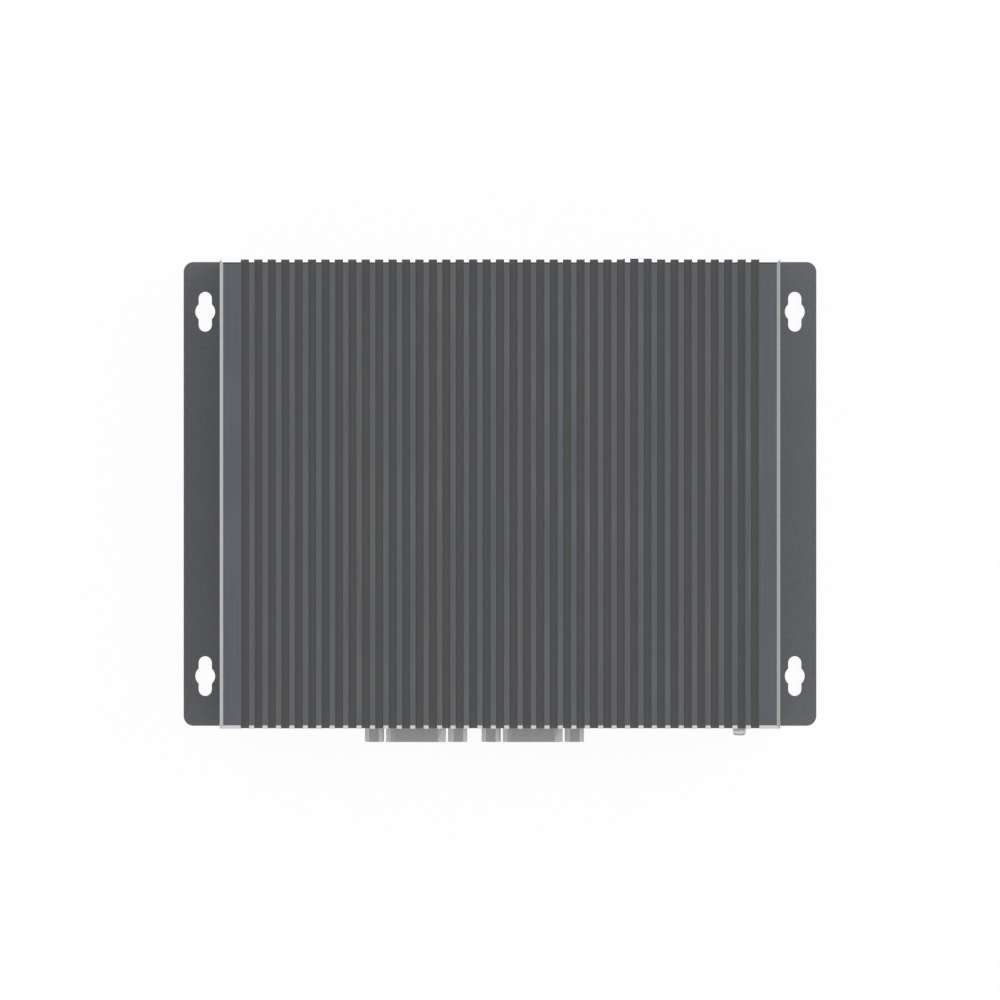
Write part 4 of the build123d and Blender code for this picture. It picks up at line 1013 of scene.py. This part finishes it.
@dataclass(frozen=True)
class Softbox:
    """A rectangular lamp that looks at the object.

    Places and sizes are in metres, power in watts.
    """

    name: str
    place: tuple[float, float, float]
    size: tuple[float, float]
    power: float

    def hang(self, target: Vector) -> None:
        """Puts the lamp up.

        Args:
            target: the point it looks at.
        """
        data = bpy.data.lights.new(self.name, "AREA")
        data.shape = "RECTANGLE"
        data.size, data.size_y = self.size
        data.energy = self.power
        lamp = bpy.data.objects.new(self.name, data)
        bpy.context.scene.collection.objects.link(lamp)
        lamp.location = self.place
        lamp.rotation_euler = (target - Vector(self.place)).to_track_quat("-Z", "Y").to_euler()


SOFTBOXES = (
    Softbox("rear_softbox", (0, 1.6, 0.25), (2.6, 0.7), 16.0),
    Softbox("front_softbox", (0, -1.6, 0.25), (2.6, 0.7), 5.2),
    Softbox("left_softbox", (-1.6, 0, 0.25), (2.6, 0.7), 2.3),
    Softbox("upper_right_softbox", (1.3, 0.4, 1.5), (0.9, 0.9), 12.0),
)


@dataclass
class Studio:
    """Pale floor, soft lamps round the object and the camera straight above it.

    The sky's bands are heights of the direction looked in, 0 at the horizon and 1 straight up.
    """

    floor_z: float = -0.3
    floor_size: float = 12.0
    paper: Colour = (0.86, 0.86, 0.86)
    glow: float = 0.94
    rise: Band = (0.0, 0.6)
    rise_level: Band = (0.25, 1.05)
    zenith: Band = (0.93, 0.995)
    zenith_dim: float = 0.4
    target: tuple[float, float, float] = (0, 0, 0.02)
    camera_y: float = -1.84
    camera_z: float = 3650.0
    lens: float = 435.1
    sensor: float = 36.0
    reach: float = 20.0

    def build(self) -> None:
        """Sets up floor, light and camera."""
        self.floor()
        self.sky()
        for softbox in SOFTBOXES:
            softbox.hang(Vector(self.target))
        self.camera()

    def floor(self) -> None:
        """A wide pale floor that is near white where it is seen and keeps a faint shadow."""
        bpy.ops.object.select_all(action="DESELECT")
        bpy.ops.mesh.primitive_plane_add(size=self.floor_size, location=(0, 0, self.floor_z * MM))
        floor = bpy.context.active_object
        floor.name = "studio_floor"
        settled(floor)
        made = bpy.data.materials.new("studio_paper")
        made.use_nodes = True
        made.node_tree.nodes.clear()
        tree = Tree(made.node_tree)
        paper = tree.add("BsdfDiffuse", {"Color": (*self.paper, 1.0)})
        glow = tree.add("Emission", {"Color": WHITE, "Strength": 1.0})
        rays = tree.add("LightPath").outputs
        seen = tree.maths("ADD", rays["Is Camera Ray"], rays["Is Glossy Ray"])
        seen = tree.maths("ADD", seen, rays["Is Transmission Ray"], clamp=True)
        share = tree.maths("MULTIPLY", seen, self.glow)
        mixed = tree.add("MixShader", {0: share, 1: paper.outputs[0], 2: glow.outputs[0]})
        tree.add("OutputMaterial", {"Surface": mixed.outputs[0]})
        floor.data.materials.append(made)

    def sky(self) -> None:
        """Even light that fades towards the horizon and is dimmer straight above; the camera sees it white."""
        world = bpy.data.worlds.new("studio_sky")
        bpy.context.scene.world = world
        world.use_nodes = True
        world.node_tree.nodes.clear()
        tree = Tree(world.node_tree)
        height = tree.axes(tree.add("TexCoord").outputs["Generated"])[2]
        dim = tree.spread(height, self.zenith, (0.0, self.zenith_dim))
        level = tree.maths("SUBTRACT", tree.spread(height, self.rise, self.rise_level), dim)
        seen = tree.maths("MAXIMUM", level, tree.add("LightPath").outputs["Is Camera Ray"])
        light = tree.add("Background", {"Color": WHITE, "Strength": seen})
        tree.add("OutputWorld", {"Surface": light.outputs[0]})

    def camera(self) -> None:
        """The camera straight above, as in the photograph."""
        data = bpy.data.cameras.new("overhead_camera")
        data.lens = self.lens
        data.sensor_width = self.sensor
        data.clip_end = self.reach
        camera = bpy.data.objects.new("overhead_camera", data)
        bpy.context.scene.collection.objects.link(camera)
        camera.location = (0, self.camera_y * MM, self.camera_z * MM)
        bpy.context.scene.camera = camera


def main() -> None:
    """Builds the finishes, the pieces and the studio, and reports the dressed nodes and each piece."""
    logging.basicConfig(level=logging.INFO, format="%(message)s")
    bpy.context.scene.view_settings.view_transform = "Standard"
    EffectShelf().make()
    wardrobe = Wardrobe()
    wardrobe.make()
    wardrobe.dress_nodes()
    log.info("nodes dressed: %d", len(frame["nodes"]))
    for screws in PORTS:
        piece = screws.build(wardrobe.made)
        log.info("%s: %d faces", piece.name, len(piece.data.polygons))
    Studio().build()


if __name__ == "__main__":
    main()
